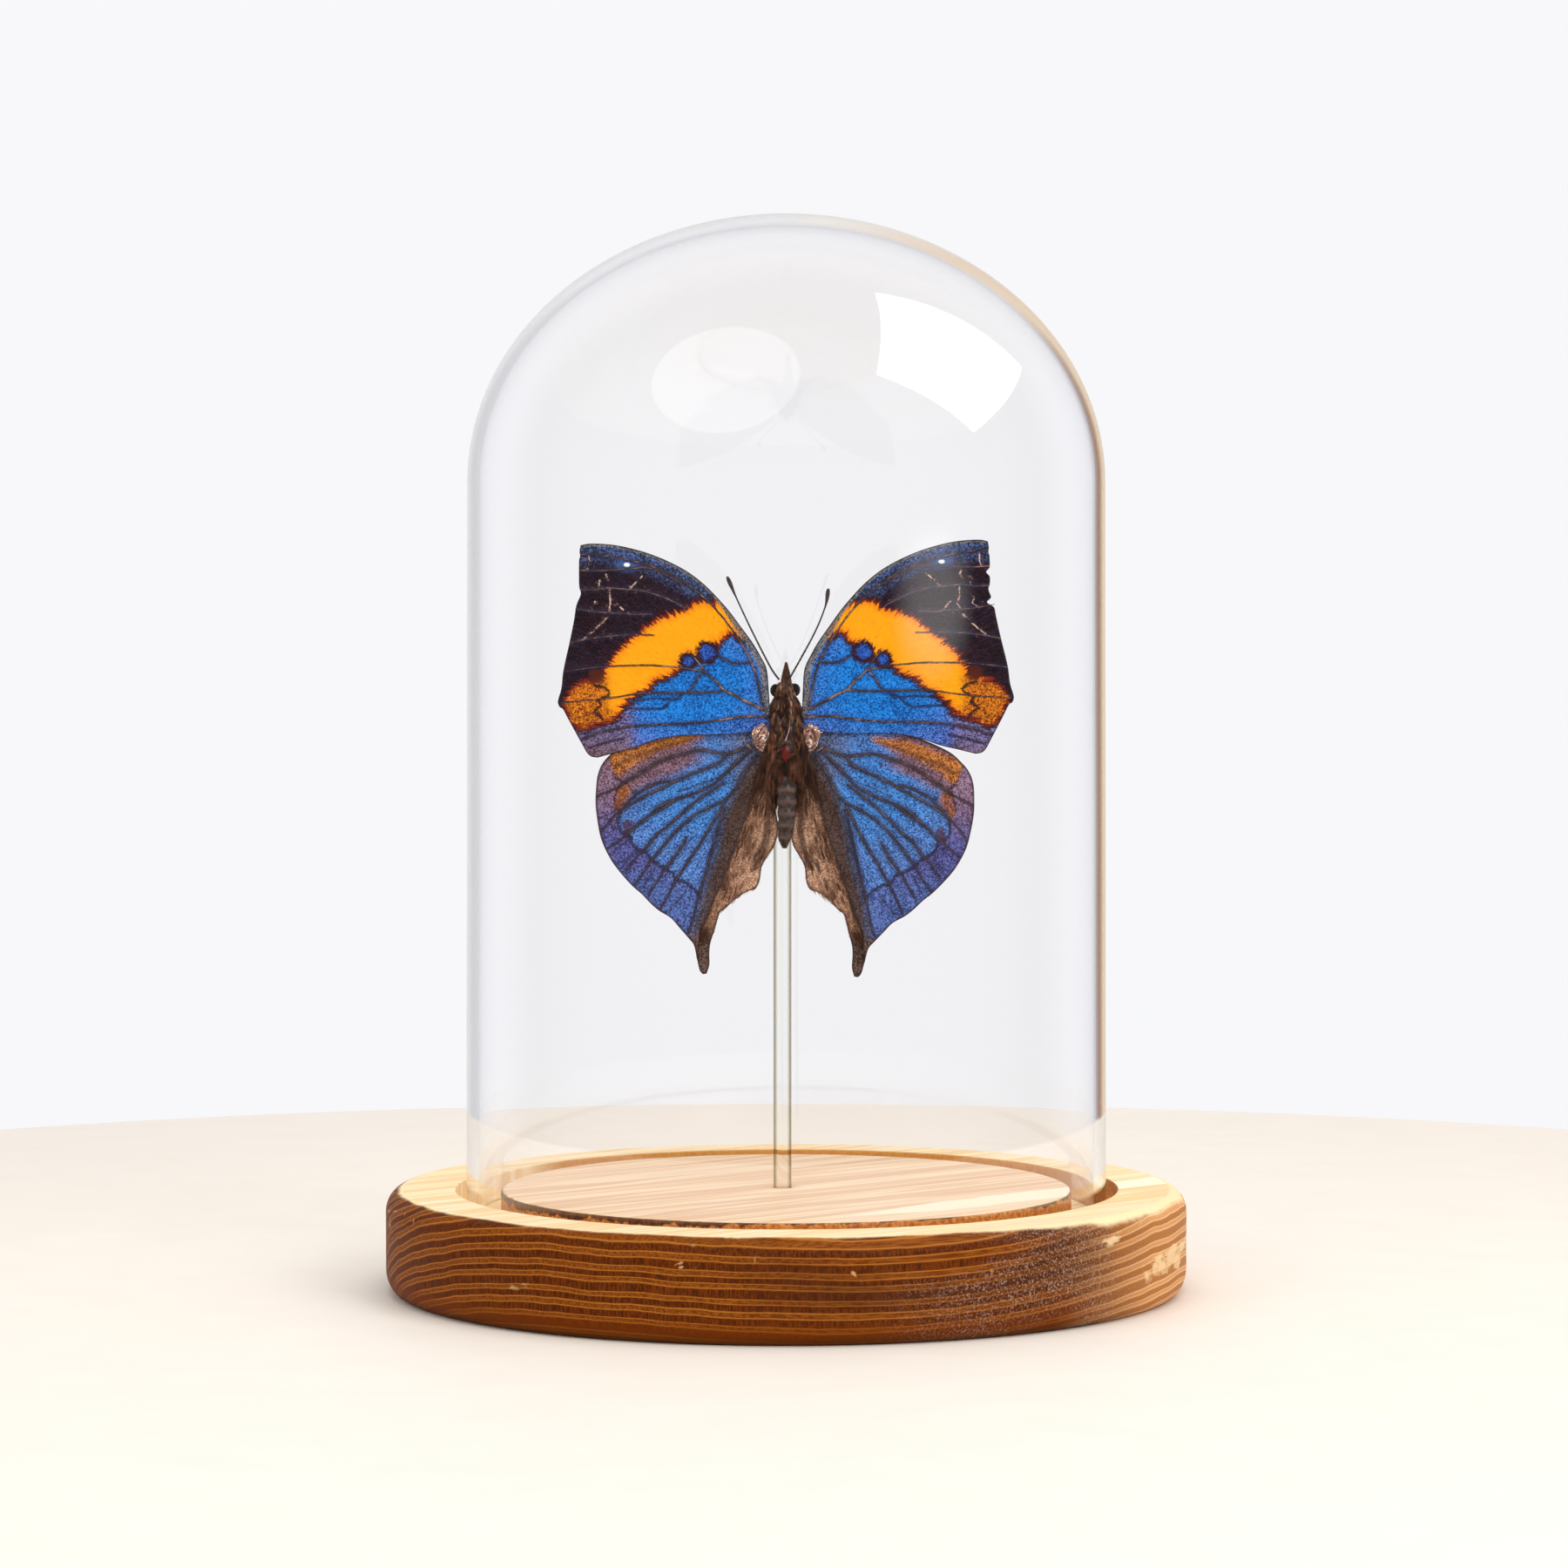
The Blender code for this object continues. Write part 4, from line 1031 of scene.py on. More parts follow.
def hindwing_fields(sheet):
    """Distances and shares for the hindwing's finish."""
    p = sheet.reshape(-1, 2)
    x, z = p.T
    scallop = -from_line(p, SCALLOPS)[0]
    return {
        "vein": from_lines(p, [line for _, _, line in HINDWING_VEINS]),
        "fold": from_lines(p, HINDWING_FOLDS),
        "rib": from_lines(p, HINDWING_RIBS),
        "scallop": scallop,
        "gold": from_outline(p, GOLD_PATCH),
        "gold_spot": from_outline(p, GOLD_SPOT),
        "maroon_spot": from_outline(p, MAROON_SPOT),
        "gold_shade": from_lines(p, [GOLD_SHADE]),
        "dot": np.hypot(x + 28.1, z - 93.6),
        "inner": from_line(p, BLUE_INNER_EDGE)[0],
        "crease": from_line(p, FOLD_CREASE)[0],
        "furrow": from_lines(p, [FOLD_FURROW]),
        "tail": 67.0 - z,
        "edge": edge_distance(sheet),
        "azure": ease(np.hypot((x + 16.0) * 0.75, z - 94.0), 13.0, 4.0),
        "umber": np.minimum(z - 92.4 - 0.45 * (x + 30.0), -0.5 * (x + 15.5)),
        "rosy": ease(z, 84.0, 95.0),
        "low": 0.7 * ease(z, 83.0, 74.0),
        "near": ease(np.hypot(x + 3.3, z - 100.4), 11.0, 5.0),
    }


def make_wing(label, wing, sheet, fields, veins, side, materials):
    """One wing: a front and a back skin joined by a rim, and its veins as slim tubes on the front.
    Returns the front skin's points."""
    rows, columns = sheet.shape[:2]
    flat = sheet.reshape(-1, 2).copy()
    depth = wing_depth(flat, wing, fields["vein"], fields["fold"])
    if wing is FOREWING and side > 0:
        reach = np.clip(np.linspace(-3.0, 1.0, rows), 0.0, 1.0)[:, None]
        for height, dip, half_width in RIGHT_NOTCHES:
            push = dip * np.exp(-((sheet[..., 1] - height) / half_width) ** 2) * reach
            flat[:, 0] += push.ravel()
    front = placed(flat, depth - WING_THICKNESS / 2, wing, side)
    back = placed(flat, depth + WING_THICKNESS / 2, wing, side)
    count = rows * columns
    quads = grid_quads(rows, columns)
    loop = np.concatenate((np.arange(columns - 1), np.arange(columns - 1, count - 1, columns),
                           np.arange(count - 1, count - columns, -1),
                           np.arange(count - columns, 0, -columns)))
    after = np.roll(loop, -1)
    rim = np.stack([after, loop, loop + count, after + count], axis=1)
    offset = flat - wing["root"]
    flow = np.stack([np.hypot(*offset.T) / 50.0,
                     np.arctan2(offset[:, 1], -offset[:, 0]) * 0.7 + 0.37 * side], axis=1)
    form = Form()
    both = {name: np.tile(values, 2) for name, values in fields.items()}
    form.add(np.concatenate((front, back)), [quads, quads[:, ::-1] + count, rim], [0, 1, 1],
             flow=np.tile(flow, (2, 1)), **both)
    for start_radius, end_radius, line in veins:
        path = even_path(line, 8 * len(line))
        level = wing_depth(path, wing, 0.0, 9.0) - WING_THICKNESS / 2
        radii = np.linspace(start_radius, 0.65 * end_radius, len(path))
        points, faces = tube(placed(path, level, wing, side), radii, 6, flat=0.8)
        form.add(points, faces, 2)
    piece = stand_for(form.piece("set_" + label, materials), [label])
    piece.visible_glossy = False
    return front


def make_wings(finishes, hair):
    """The four wings, and the fur of the hindwings' brown folds."""
    rng = np.random.default_rng(11)
    fore = forewing_sheet(*FOREWING_GRID)
    hind = hindwing_sheet(*HINDWING_GRID)
    fore_fields, hind_fields = forewing_fields(fore), hindwing_fields(hind)
    for name, side in (("left", -1), ("right", 1)):
        if side > 0:  # less brown and dusk on the right wings
            hind_fields.update(umber=hind_fields["umber"] - 1.8)
            fore_fields.update(tornus=fore_fields["tornus"] - 2.2, dusk=fore_fields["dusk"] - 2.4)
        make_wing("forewing_" + name, FOREWING, fore, fore_fields, FOREWING_VEINS, side,
                  [finishes["forewing"], finishes["underside"], finishes["vein"]])
        skin = make_wing("hindwing_" + name, HINDWING, hind, hind_fields, HINDWING_VEINS, side,
                         [finishes["hindwing"], finishes["underside"], finishes["dark_vein"]])
        make_fold_fur(name, hind, hind_fields, skin, side, hair, rng)


def make_fold_fur(name, sheet, fields, skin, side, hair, rng):
    """Fur lying along the hindwing's brown fold, from the root towards the tail."""
    flat = sheet.reshape(-1, 2)
    furry = np.flatnonzero((fields["crease"] > 0.1) & (fields["tail"] < 0.0))
    weight = np.linalg.norm(np.gradient(sheet, axis=0), axis=-1).ravel()[furry]
    picked = rng.choice(furry, FOLD_HAIRS, p=weight / weight.sum())
    along = from_line(flat[picked], FOLD_CREASE)[1]
    along /= np.linalg.norm(along, axis=1)[:, None]
    leans = np.stack([-side * along[:, 0], np.full(len(picked), -0.07), along[:, 1]], axis=1)
    leans += rng.normal(scale=(0.09, 0.03, 0.03), size=leans.shape)
    roots = skin[picked] + rng.normal(scale=0.12, size=leans.shape) * (1, 0, 1)
    roots[:, 1] += 0.05
    lengths = np.maximum(rng.uniform(1.4, 3.0, len(picked)) * ease(fields["edge"][picked], 0.0, 1.2), 0.3)
    leans, tone_of = tufted(roots, leans, lengths, len(picked) // 12, rng)
    # hairs near the crease and the furrow are made darker: painted shade, as on the fold beneath them
    depth = ease(fields["crease"][picked], 0.0, 5.5) * ease(fields["furrow"][picked], 0.2, 1.4)
    shade = 0.15 + 0.6 * depth + 0.45 * (tone_of - 0.5) - 0.12 * (side > 0)
    shade = np.clip(shade + rng.normal(scale=0.1, size=len(picked)), 0.0, 1.0)
    form = Form()
    points, faces = hairs(roots, leans, lengths, 0.04, (0.0, 0.02, -0.05), rng)
    form.add(points, faces, shade=np.repeat(shade, HAIR_POINTS))
    piece = form.piece("fold_fur_" + name, [hair])
    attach(piece, "root")


# Body ------------------------------------------------------------------------------------------------
def tufted(roots, leans, lengths, count, rng):
    """Draw the hairs together in tufts: each aims at the tip of the tuft whose root is nearest. Also
    gives each hair its tuft's own random number from 0 to 1."""
    middles = rng.choice(len(roots), count, replace=False)
    gaps = ((roots[:, None] - roots[middles][None]) ** 2).sum(-1)
    nearest = np.argmin(gaps, axis=1)
    tips = (roots[middles] + leans[middles] * lengths[middles, None])[nearest]
    aims = 0.65 * (tips - roots) / lengths[:, None] + 0.35 * leans
    return aims, rng.uniform(0.0, 1.0, count)[nearest]


def pelt(stations, count, length, radius, lift, rng, keep=None):
    """Hairs rooted all over a ringed form, lying down its length in tufts, a little lifted."""
    fine = smooth_path(stations, 120)
    pick = rng.integers(3, 117, count)
    z, x, y, rx, ry = fine[pick].T
    angle = rng.uniform(0.0, math.tau, count)
    out = np.stack([np.cos(angle) / rx, np.sin(angle) / ry, np.zeros(count)], axis=1)
    out /= np.linalg.norm(out, axis=1)[:, None]
    roots = np.stack([x + 0.97 * rx * np.cos(angle), y + 0.97 * ry * np.sin(angle),
                      z + rng.normal(scale=0.1, size=count)], axis=1)
    leans = out * lift + np.array((0.0, 0.0, -1.0)) + rng.normal(scale=0.2, size=(count, 3))
    if keep is not None:
        kept = keep(roots)
        roots, leans = roots[kept], leans[kept]
    lengths = length * rng.uniform(0.6, 1.2, len(roots))
    leans, tone_of = tufted(roots, leans, lengths, max(12, len(roots) // 14), rng)
    points, faces = hairs(roots, leans, lengths, radius, (0.0, 0.0, -0.12), rng)
    shade = 0.95 * tone_of + rng.normal(0.04, 0.14, len(roots))
    shade -= 0.35 * np.exp(-((roots[:, 0] + 0.05) / 0.28) ** 2)
    return points, faces, np.repeat(np.clip(shade, 0.0, 1.0), HAIR_POINTS)


def diamond_plate(corners, middle_y, rise, rings=14, around=48):
    """A cushioned plate on a four-cornered outline: point = middle + s (outline - middle), raised by
    rise (1 - s^2), with a flat back."""
    middle = np.mean(corners, axis=0)
    outline = even_path(list(corners) + [corners[0]], around + 1)[:-1]
    straight = np.concatenate([np.linspace(corners[k], corners[(k + 1) % 4], around // 4,
                                           endpoint=False) for k in range(4)])
    outline = 0.25 * outline + 0.75 * straight
    s = np.linspace(1.0, 0.02, rings)[:, None]
    x = middle[0] + s * (outline[:, 0] - middle[0])
    z = middle[1] + s * (outline[:, 1] - middle[1])
    y = middle_y - rise * (1 - s**2) + 0.0 * x
    front = np.stack([x, y, z], axis=-1)
    back = np.stack([x[:1], np.full_like(x[:1], middle_y + 0.3), z[:1]], axis=-1)
    return np.concatenate((back, front)).reshape(-1, 3), capped(rings + 1, around)


def hinge_plate(side):
    """Copper plate at the wing roots: a cushion on an uneven oval, its radius swaying by
    0.18 cos(2a + 1) + 0.12 sin(3a), with lumps of a few sine waves."""
    u = np.linspace(0.02, 1.0, 26)[:, None]
    a = np.linspace(0.0, math.tau, 64, endpoint=False)[None]
    sway = 1 + 0.18 * np.cos(2 * a + 1.0) + 0.12 * np.sin(3 * a) + 0.05 * np.sin(7 * a)
    x = 1.35 * u * sway * np.cos(a)
    z = 2.6 * u * sway * np.sin(a)
    lumps = np.sin(3.1 * x + 1.3 * z) * np.sin(2.3 * z - 1.7 * x) + 0.6 * np.sin(6.1 * x + 4.3 * z)
    y = -8.6 - 0.45 * (1 - u**2) - 0.2 * lumps * (1 - u**4)
    front = np.stack([side * (4.75 + x + 0.16 * z), y, 103.8 + z], axis=-1)
    back = front[-1:] + (0.0, 0.9, 0.0)
    return np.concatenate((front, back)).reshape(-1, 3), capped(27, 64)


def tuft_hairs(middle, spread, lean, count, rng):
    """A loose tuft of longer hairs about a middle."""
    roots = rng.normal(middle, spread, (count, 3))
    leans = rng.normal(lean, 0.13, (count, 3))
    lengths = rng.uniform(1.5, 3.2, count)
    leans, tone_of = tufted(roots, leans, lengths, count // 16, rng)
    points, faces = hairs(roots, leans, lengths, 0.05, (0.0, 0.1, -0.1), rng)
    shade = np.clip(0.7 * tone_of + rng.normal(0.08, 0.1, count), 0.0, 1.0)
    return points, faces, np.repeat(shade, HAIR_POINTS)


def off_scutellum(roots):
    """True for hair roots that stand clear of the bare plate."""
    plate = (np.abs(roots[:, 0] + 0.05) / 2.4 + np.abs(roots[:, 2] - 101.7) / 3.1 < 1.0)
    return ~(plate & (roots[:, 1] < -8.0))


def make_thorax(hair, skin, copper, gloss, streak, vein):
    """The thorax's skin and hair, the red scutellum, the pink streak and the copper hinge plates."""
    rng = np.random.default_rng(3)
    form = Form()
    form.add(*ringed(THORAX_RINGS, 60, 48,
                     lambda z, a: 1 + 0.03 * np.cos(6 * a) + 0.02 * np.sin(2.6 * z + 3 * a)), 1)
    points, faces, shade = pelt(THORAX_RINGS, THORAX_HAIRS, 1.5, 0.055, 0.42, rng, off_scutellum)
    form.add(points, faces, 0, shade=shade)
    for tuft in THORAX_TUFTS:
        points, faces, shade = tuft_hairs(*tuft, rng)
        form.add(points, faces, 0, shade=shade)
    form.add(*diamond_plate(SCUTELLUM, -10.15, 0.42), 3)
    for start, end in ((3, 0), (0, 1)):
        ridge = np.linspace(SCUTELLUM[start], SCUTELLUM[end], 10)
        form.add(*tube(np.insert(ridge, 1, -10.25, axis=1), np.full(10, 0.07), 6), 5)
    streak_radii = np.interp(np.linspace(0, 1, 16), (0, 0.8, 1), (0.05, 0.13, 0.26))
    form.add(*tube(smooth_path(PINK_STREAK, 16), streak_radii, 8), 4)
    for side in (-1, 1):
        form.add(*hinge_plate(side), 2)
        for line in HINGE_RIDGES:
            form.add(*tube(smooth_path(mirrored(line, side), 14), np.linspace(0.13, 0.08, 14), 6), 5)
    stand_for(form.piece("downy_thorax", [hair, skin, copper, gloss, streak, vein]), ["thorax"])


def make_abdomen(hair, skin):
    """The segmented abdomen: rings swell by a sine along the length, with short hair between."""
    rng = np.random.default_rng(5)
    form = Form()
    form.add(*ringed(ABDOMEN_RINGS, 120, 48,
                     lambda z, a: 0.98 + 0.16 * np.abs(np.sin(SEGMENT_TURN * z)) + 0 * a), 1)
    points, faces, shade = pelt(ABDOMEN_RINGS, ABDOMEN_HAIRS, 0.9, 0.035, 0.25, rng,
                                lambda roots: rng.uniform(84.0, 97.0, len(roots)) < roots[:, 2])
    form.add(points, faces, 0, shade=shade)
    stand_for(form.piece("segmented_abdomen", [hair, skin]), ["abdomen"])


def off_eyes(roots):
    """True for hair roots that stand clear of both eyes."""
    away = [np.linalg.norm(roots - np.array(middle), axis=1) for middle in EYES.values()]
    return np.min(away, axis=0) > EYE_RADIUS + 0.12


def make_head(hair, skin, eye):
    """The hairy head and its two glossy eyes, upright ovals of rings."""
    rng = np.random.default_rng(7)
    form = Form()
    form.add(*ringed(HEAD_RINGS, 40, 40), 1)
    points, faces, shade = pelt(HEAD_RINGS, HEAD_HAIRS, 0.7, 0.045, 0.6, rng, off_eyes)
    form.add(points, faces, 0, shade=shade)
    stand_for(form.piece("downy_head", [hair, skin]), ["head"])
    around = np.linspace(0.02, math.pi - 0.02, 25)
    points, faces = lathe(np.stack([np.sin(around), 1.22 * np.cos(around)], axis=1) * EYE_RADIUS, 36)
    for label, middle in EYES.items():
        ball = Form()
        ball.add(points + middle, faces)
        stand_for(ball.piece("domed_eye_" + label, [eye]), ["eye_" + label])


def make_palp(label, side, hair, skin, rng):
    """A slim cone along the palp's path, with short hair all round."""
    path = smooth_path(mirrored(PALP_PATH, side), 26)
    radii = tapered(PALP_RADII, 26)
    form = Form()
    form.add(*tube(path, radii, 20), 1)
    pick = rng.integers(0, 24, PALP_HAIRS)
    angle = rng.uniform(0, math.tau, PALP_HAIRS)
    out = np.stack([np.cos(angle), np.sin(angle), np.zeros(PALP_HAIRS)], axis=1)
    roots = path[pick] + out * radii[pick, None] * 0.95
    leans = out * 0.16 + (-side * 0.12, -0.05, 1.0) + rng.normal(scale=0.06, size=out.shape)
    points, faces = hairs(roots, leans, rng.uniform(0.3, 0.6, PALP_HAIRS), 0.034, (0, 0, 0), rng)
    shade = np.clip(rng.normal(0.5, 0.25, PALP_HAIRS), 0, 1)
    form.add(points, faces, 0, shade=np.repeat(shade, HAIR_POINTS))
    stand_for(form.piece("scaly_palp_" + label, [hair, skin]), ["palp_" + label])


def make_antenna(label, horn, count=340, sides=10):
    """A thin rod ringed by a cosine along its length, swelling into a club near the tip."""
    path = smooth_path(ANTENNA_PATHS[label], count)
    share = np.linspace(0.0, 1.0, count)
    length = np.linalg.norm(np.diff(path, axis=0), axis=1).sum()
    swelling = ease(share, 0.72, 0.92) * (1 - 0.55 * ease(share, 0.95, 1.0))
    radii = ANTENNA_RADIUS * (1 - 0.35 * share) + (CLUB_RADIUS - 0.1) * swelling
    radii *= 1 + 0.09 * np.cos(math.tau * share * length / ANTENNA_RING_SPACING)
    form = Form()
    form.add(*tube(path, radii, sides), club=np.repeat(ease(share, 0.7, 0.8), sides))
    stand_for(form.piece("ringed_antenna_" + label, [horn]), ["antenna_" + label])


def make_leg(name, line, side, horn, rng):
    """A jointed leg: a tube that swells at its joints, with a few bristles."""
    path = smooth_path(mirrored(line, side), 60)
    form = Form()
    form.add(*tube(path, tapered(LEG_RADII, 60), 10), club=0.0)
    pick = rng.integers(2, 58, LEG_HAIRS)
    leans = rng.normal(scale=0.5, size=(LEG_HAIRS, 3)) + (0, 0, -0.8)
    lengths = rng.uniform(0.35, 0.7, LEG_HAIRS)
    form.add(*hairs(path[pick], leans, lengths, 0.018, (0, 0, -0.1), rng), club=0.0)
    stand_for(form.piece("jointed_" + name, [horn]), [name])


def make_limbs(hair, horn, skin):
    """Palps with short hair, ringed antennae that end in clubs, and jointed legs."""
    rng = np.random.default_rng(9)
    for label, side in (("left", -1), ("right", 1)):
        make_palp(label, side, hair, skin, rng)
        make_antenna(label, horn)
        for pair, line in LEG_PATHS.items():
            make_leg("leg_%s_%s" % (pair, label), line, side, horn, rng)


def make_hair(name, tint, root, tip, glint):
    """Hair coloured by the shared tint."""
    made, g, shader = new_material(name, Roughness=0.6, Specular_IOR_Level=0.25)
    g.finish(shader, g.use(tint, Root=root, Tip=tip, Glint=glint)[0])
    return made


def make_skin():
    """Dark horny skin, with a pale band on each of the abdomen's segments and painted shade in the grooves
    between them.
    """
    made, g, shader = new_material("dark_skin", Roughness=0.36, Specular_IOR_Level=0.35)
    grain = g.noise(g.place(), 1400.0, 4.0, 0.6)
    height = g.add("ShaderNodeSeparateXYZ", {0: g.place()}).outputs[2]
    segment_rise = g.size(g.math("SINE", g.times(height, SEGMENT_TURN / MM)))
    color = g.blend("#1a0f0a", "#4b342b", grain, 0.35, 0.65)
    color = g.blend(color, "#6e564e", segment_rise, 0.75, 1.0, 0.0, 0.35)
    # darker in the grooves between segments: painted shade
    color = g.blend(color, "#150c09", segment_rise, 0.4, 0.1, 0.0, 0.6)
    g.finish(shader, color, grain, 0.5, 0.0001)
    return made


def make_horn():
    """Horn of the antennae and legs, redder on the clubs."""
    made, g, shader = new_material("antenna_horn", Roughness=0.42)
    grain = g.noise(g.place(), 2200.0, 3.0, 0.6)
    color = g.mix(g.value("club"), g.blend("#140d0b", "#42332c", grain, 0.4, 0.62), "#2a1714")
    g.finish(shader, color, grain, 0.4, 0.00003)
    return made


def make_eye_gloss():
    """Near-black eye with a fine pattern of facets."""
    made, g, shader = new_material("black_eye_gloss", Roughness=0.15, Specular_IOR_Level=0.2)
    color = g.blend("#060505", "#161010", g.noise(g.place(), 500.0), 0.4, 0.7)
    g.finish(shader, color, g.cells(g.place(), 9000.0, "Distance"), 0.15, 0.00002)
    return made


def make_copper():
    """Coppery scales of the hinge plates, with pale sparks that are painted highlights."""
    made, g, shader = new_material("copper_hinge_plate", Roughness=0.3, Metallic=0.2)
    grain = g.noise(g.place(), 1500.0, 4.0, 0.75)
    # pale sparks: painted highlights
    painted_glint = g.noise(g.place(), 900.0, 3.0, 0.7, 0.8)
    color = g.blend("#4d2a1c", "#cb9278", grain, 0.4, 0.6)
    g.finish(shader, g.blend(color, "#fff0e6", painted_glint, 0.53, 0.60), grain, 0.8, 0.00015)
    return made


def make_body_finishes(tint):
    """Hair, skin, horn, eye, copper, scutellum and streak finishes."""
    gloss, g, shader = new_material("red_scutellum", Roughness=0.3, Specular_IOR_Level=0.15)
    grain = g.noise(g.place(), 900.0, 3.0, 0.6)
    g.finish(shader, g.blend("#1e0402", "#5c170c", grain, 0.35, 0.65), grain, 0.4, 0.0001)
    streak, g, shader = new_material("pink_streak", Roughness=0.25)
    g.finish(shader, g.blend("#5c3634", "#bd908a", g.noise(g.place(), 1300.0), 0.4, 0.6))
    return {
        "hair": make_hair("brown_body_hair", tint, "#2d150a", "#986243", "#d8b48e"),
        "dark_hair": make_hair("dark_abdomen_hair", tint, "#20140f", "#7c645a", "#a8968e"),
        "fold_hair": make_hair("fold_fur", tint, "#583624", "#cf9f80", "#f0d0b2"),
        "skin": make_skin(), "horn": make_horn(), "eye": make_eye_gloss(), "copper": make_copper(),
        "gloss": gloss, "streak": streak,
    }


# Wood ------------------------------------------------------------------------------------------------
def polar(g):
    """X, Y and Z in millimetres, and the distance from the base's axis."""
    x, y, z = g.add("ShaderNodeSeparateXYZ", {0: g.place((1 / MM, 1 / MM, 1 / MM))}).outputs
    radius = g.math("SQRT", g.plus(g.times(x, x), g.times(y, y)))
    return x, y, z, radius


def make_top_wood(name, plank, wear, body, streaks, pale):
    """Flat sanded face of the board: pale lines and darker streaks along the grain."""
    made, g, shader = new_material(name, Roughness=0.5, Specular_IOR_Level=0.3)
    x, y, _, radius = polar(g)
    lines = g.use(plank)
    color = g.blend(streaks, body, lines["Shade"], 0.42, 0.62)
    color = g.mix(g.times(lines["Line"], 0.4), color, pale)
    # one wide pale streak runs out towards the front right
    across = g.minus(g.times(y, 0.75), g.times(x, 0.66))
    bend = g.times(g.minus(g.noise(g.place(), 40.0, 2.0), 0.5), 6.0)
    across = g.size(g.plus(g.plus(across, 39.5), bend))
    reach = g.times(g.span(x, 8.0, 30.0), 4.6)
    wide = g.span(g.minus(across, reach), 0.8, -0.8)
    color = g.mix(g.times(wide, 0.85), color, pale)
    color = g.mix(g.times(g.use(wear, Scale=240.0, Amount=0.12)[0], 0.35), color, "#a97f55")
    height = g.plus(g.times(lines["Shade"], 0.8), g.times(lines["Line"], 0.3))
    g.finish(shader, color, height, 0.2, 0.00012)
    return made, g, shader, color, radius


def make_rosy_wood(plank, wear):
    """Rosy disc inside the groove, with a ragged burnt brim that is strongest at the front left."""
    made, g, shader, color, radius = make_top_wood("rosy_disc_wood", plank, wear, "#e9c59d", "#d7ab80",
                                                   "#fbe6c8")
    teeth = g.noise(g.place((30.0, 420.0, 1.0), turn=BOARD_GRAIN), 1.0, 3.0, 0.6)
    brim = g.plus(radius, g.times(g.minus(teeth, 0.5), 2.4))
    x, y, _, _ = polar(g)
    front_left = g.times(g.span(x, 12.0, -18.0), g.span(y, 5.0, -20.0))
    brim = g.times(g.span(brim, 52.9, 53.4), g.span(front_left, 0.0, 1.0, 0.25, 0.85))
    g.finish(shader, g.mix(brim, color, "#5a2c0c"))
    return made


def scorched_stripes(g, grown, ticks, x, z):
    """Growth rings on the scorched side: redder low down with painted shade at the very bottom, darkest in
    the middle, and pale at the right, partly the wood's own paler stripes and partly painted light on the
    side towards the key lamp.
    """
    band = g.blend("#391302", "#652c06", ticks, 0.40, 0.60)
    gap = g.blend("#683006", "#874a14", grown["Fibre"], 0.38, 0.62)
    color = g.mix(g.times(grown["Ring"], 0.85), gap, band)
    color = g.mix(g.times(grown["Line"], 0.75), color, "#ad6a24")
    color = g.blend(color, "#6e3002", z, 5.0, 2.5, 0.0, 0.6)
    # darker still at the very bottom: painted shade where the side curves under to the table
    color = g.blend(color, "#4f2c0a", z, 2.2, 0.6, 0.0, 0.6)
    scorch = g.times(g.span(grown["Broad"], 0.40, 0.58), g.span(x, -25.0, 15.0))
    scorch = g.times(scorch, g.span(z, 3.0, 9.0))
    color = g.mix(g.times(scorch, 0.5), color, "#41200f")
    # paler towards the right: partly the wood's own paler stripes, partly painted light on the side towards
    # the key lamp
    light = g.mix(grown["Ring"], "#dc9c60", "#b5763e")
    light = g.mix(g.times(grown["Line"], 0.9), light, "#ecc493")
    return g.blend(color, light, x, 46.0, 70.0, 0.0, 0.9)


def worn_side(g, color, wear, x, z):
    """Pale nicks high on the side, and pale worn spots, most of them low on the right."""
    nick = g.times(g.use(wear, Scale=170.0, Amount=0.44)[0], g.span(z, 10.0, 13.0))
    color = g.mix(g.times(nick, 0.75), color, "#cf9f6a")
    patch = g.noise(g.place((60.0, 60.0, 190.0)), 1.0, 4.0, 0.6, 0.4)
    low_right = g.span(g.size(g.minus(z, 8.5)), 4.0, 1.5)
    low_right = g.times(g.span(x, 58.0, 68.0), low_right)
    worn = g.span(g.plus(patch, g.times(low_right, 0.23)), 0.68, 0.78)
    return g.mix(g.times(worn, 0.8), color, "#efcf9e")


def make_side_wood(rings, wear):
    """Scorched side with a burnt patch on the right whose fine pale grain is a painted sheen, and a cream
    brim that widens to the right.
    """
    made, g, shader = new_material("scorched_side_wood", Roughness=0.5, Specular_IOR_Level=0.04)
    grown = g.use(rings, Spacing=2.35, Wobble=0.3)
    x, _, z, radius = polar(g)
    ticks = g.noise(g.place((2600.0, 2600.0, 420.0)), 1.0, 3.0, 0.7)
    color = scorched_stripes(g, grown, ticks, x, z)
    burnt = g.times(g.span(x, 12.0, 42.0), g.span(x, 68.0, 50.0))
    burnt = g.times(burnt, g.span(grown["Broad"], 0.34, 0.52))
    color = g.mix(g.times(burnt, 0.2), color, "#40210f")
    # a fine pale grain in the burnt patch: painted sheen and glints, which also roughens its bump
    grit = g.noise(g.place(), 2300.0, 3.0, 0.8)
    sheen_grit = g.times(burnt, g.span(grit, 0.50, 0.66))
    color = g.mix(g.times(sheen_grit, 0.68), color, "#cda994")
    color = worn_side(g, color, wear, x, z)
    sway = g.times(g.minus(g.noise(g.place(), 90.0, 4.0, 0.6), 0.5), 2.0)
    reach = g.span(x, 30.0, 62.0, 0.0, 1.6)
    near_top = g.span(g.plus(z, reach), 16.5, 18.0)
    out_to = g.minus(g.plus(radius, sway), reach)
    color = g.mix(g.times(g.span(out_to, 73.0, 72.0), near_top), color, "#f6d9aa")
    g.feed(shader.inputs["Roughness"], g.span(ticks, 0.3, 0.7, 0.42, 0.6))
    height = g.plus(g.times(grown["Fibre"], 0.6), g.times(grown["Line"], 0.7))
    g.finish(shader, color, g.plus(height, g.times(sheen_grit, 1.2)), 0.4, 0.0002)
    return made


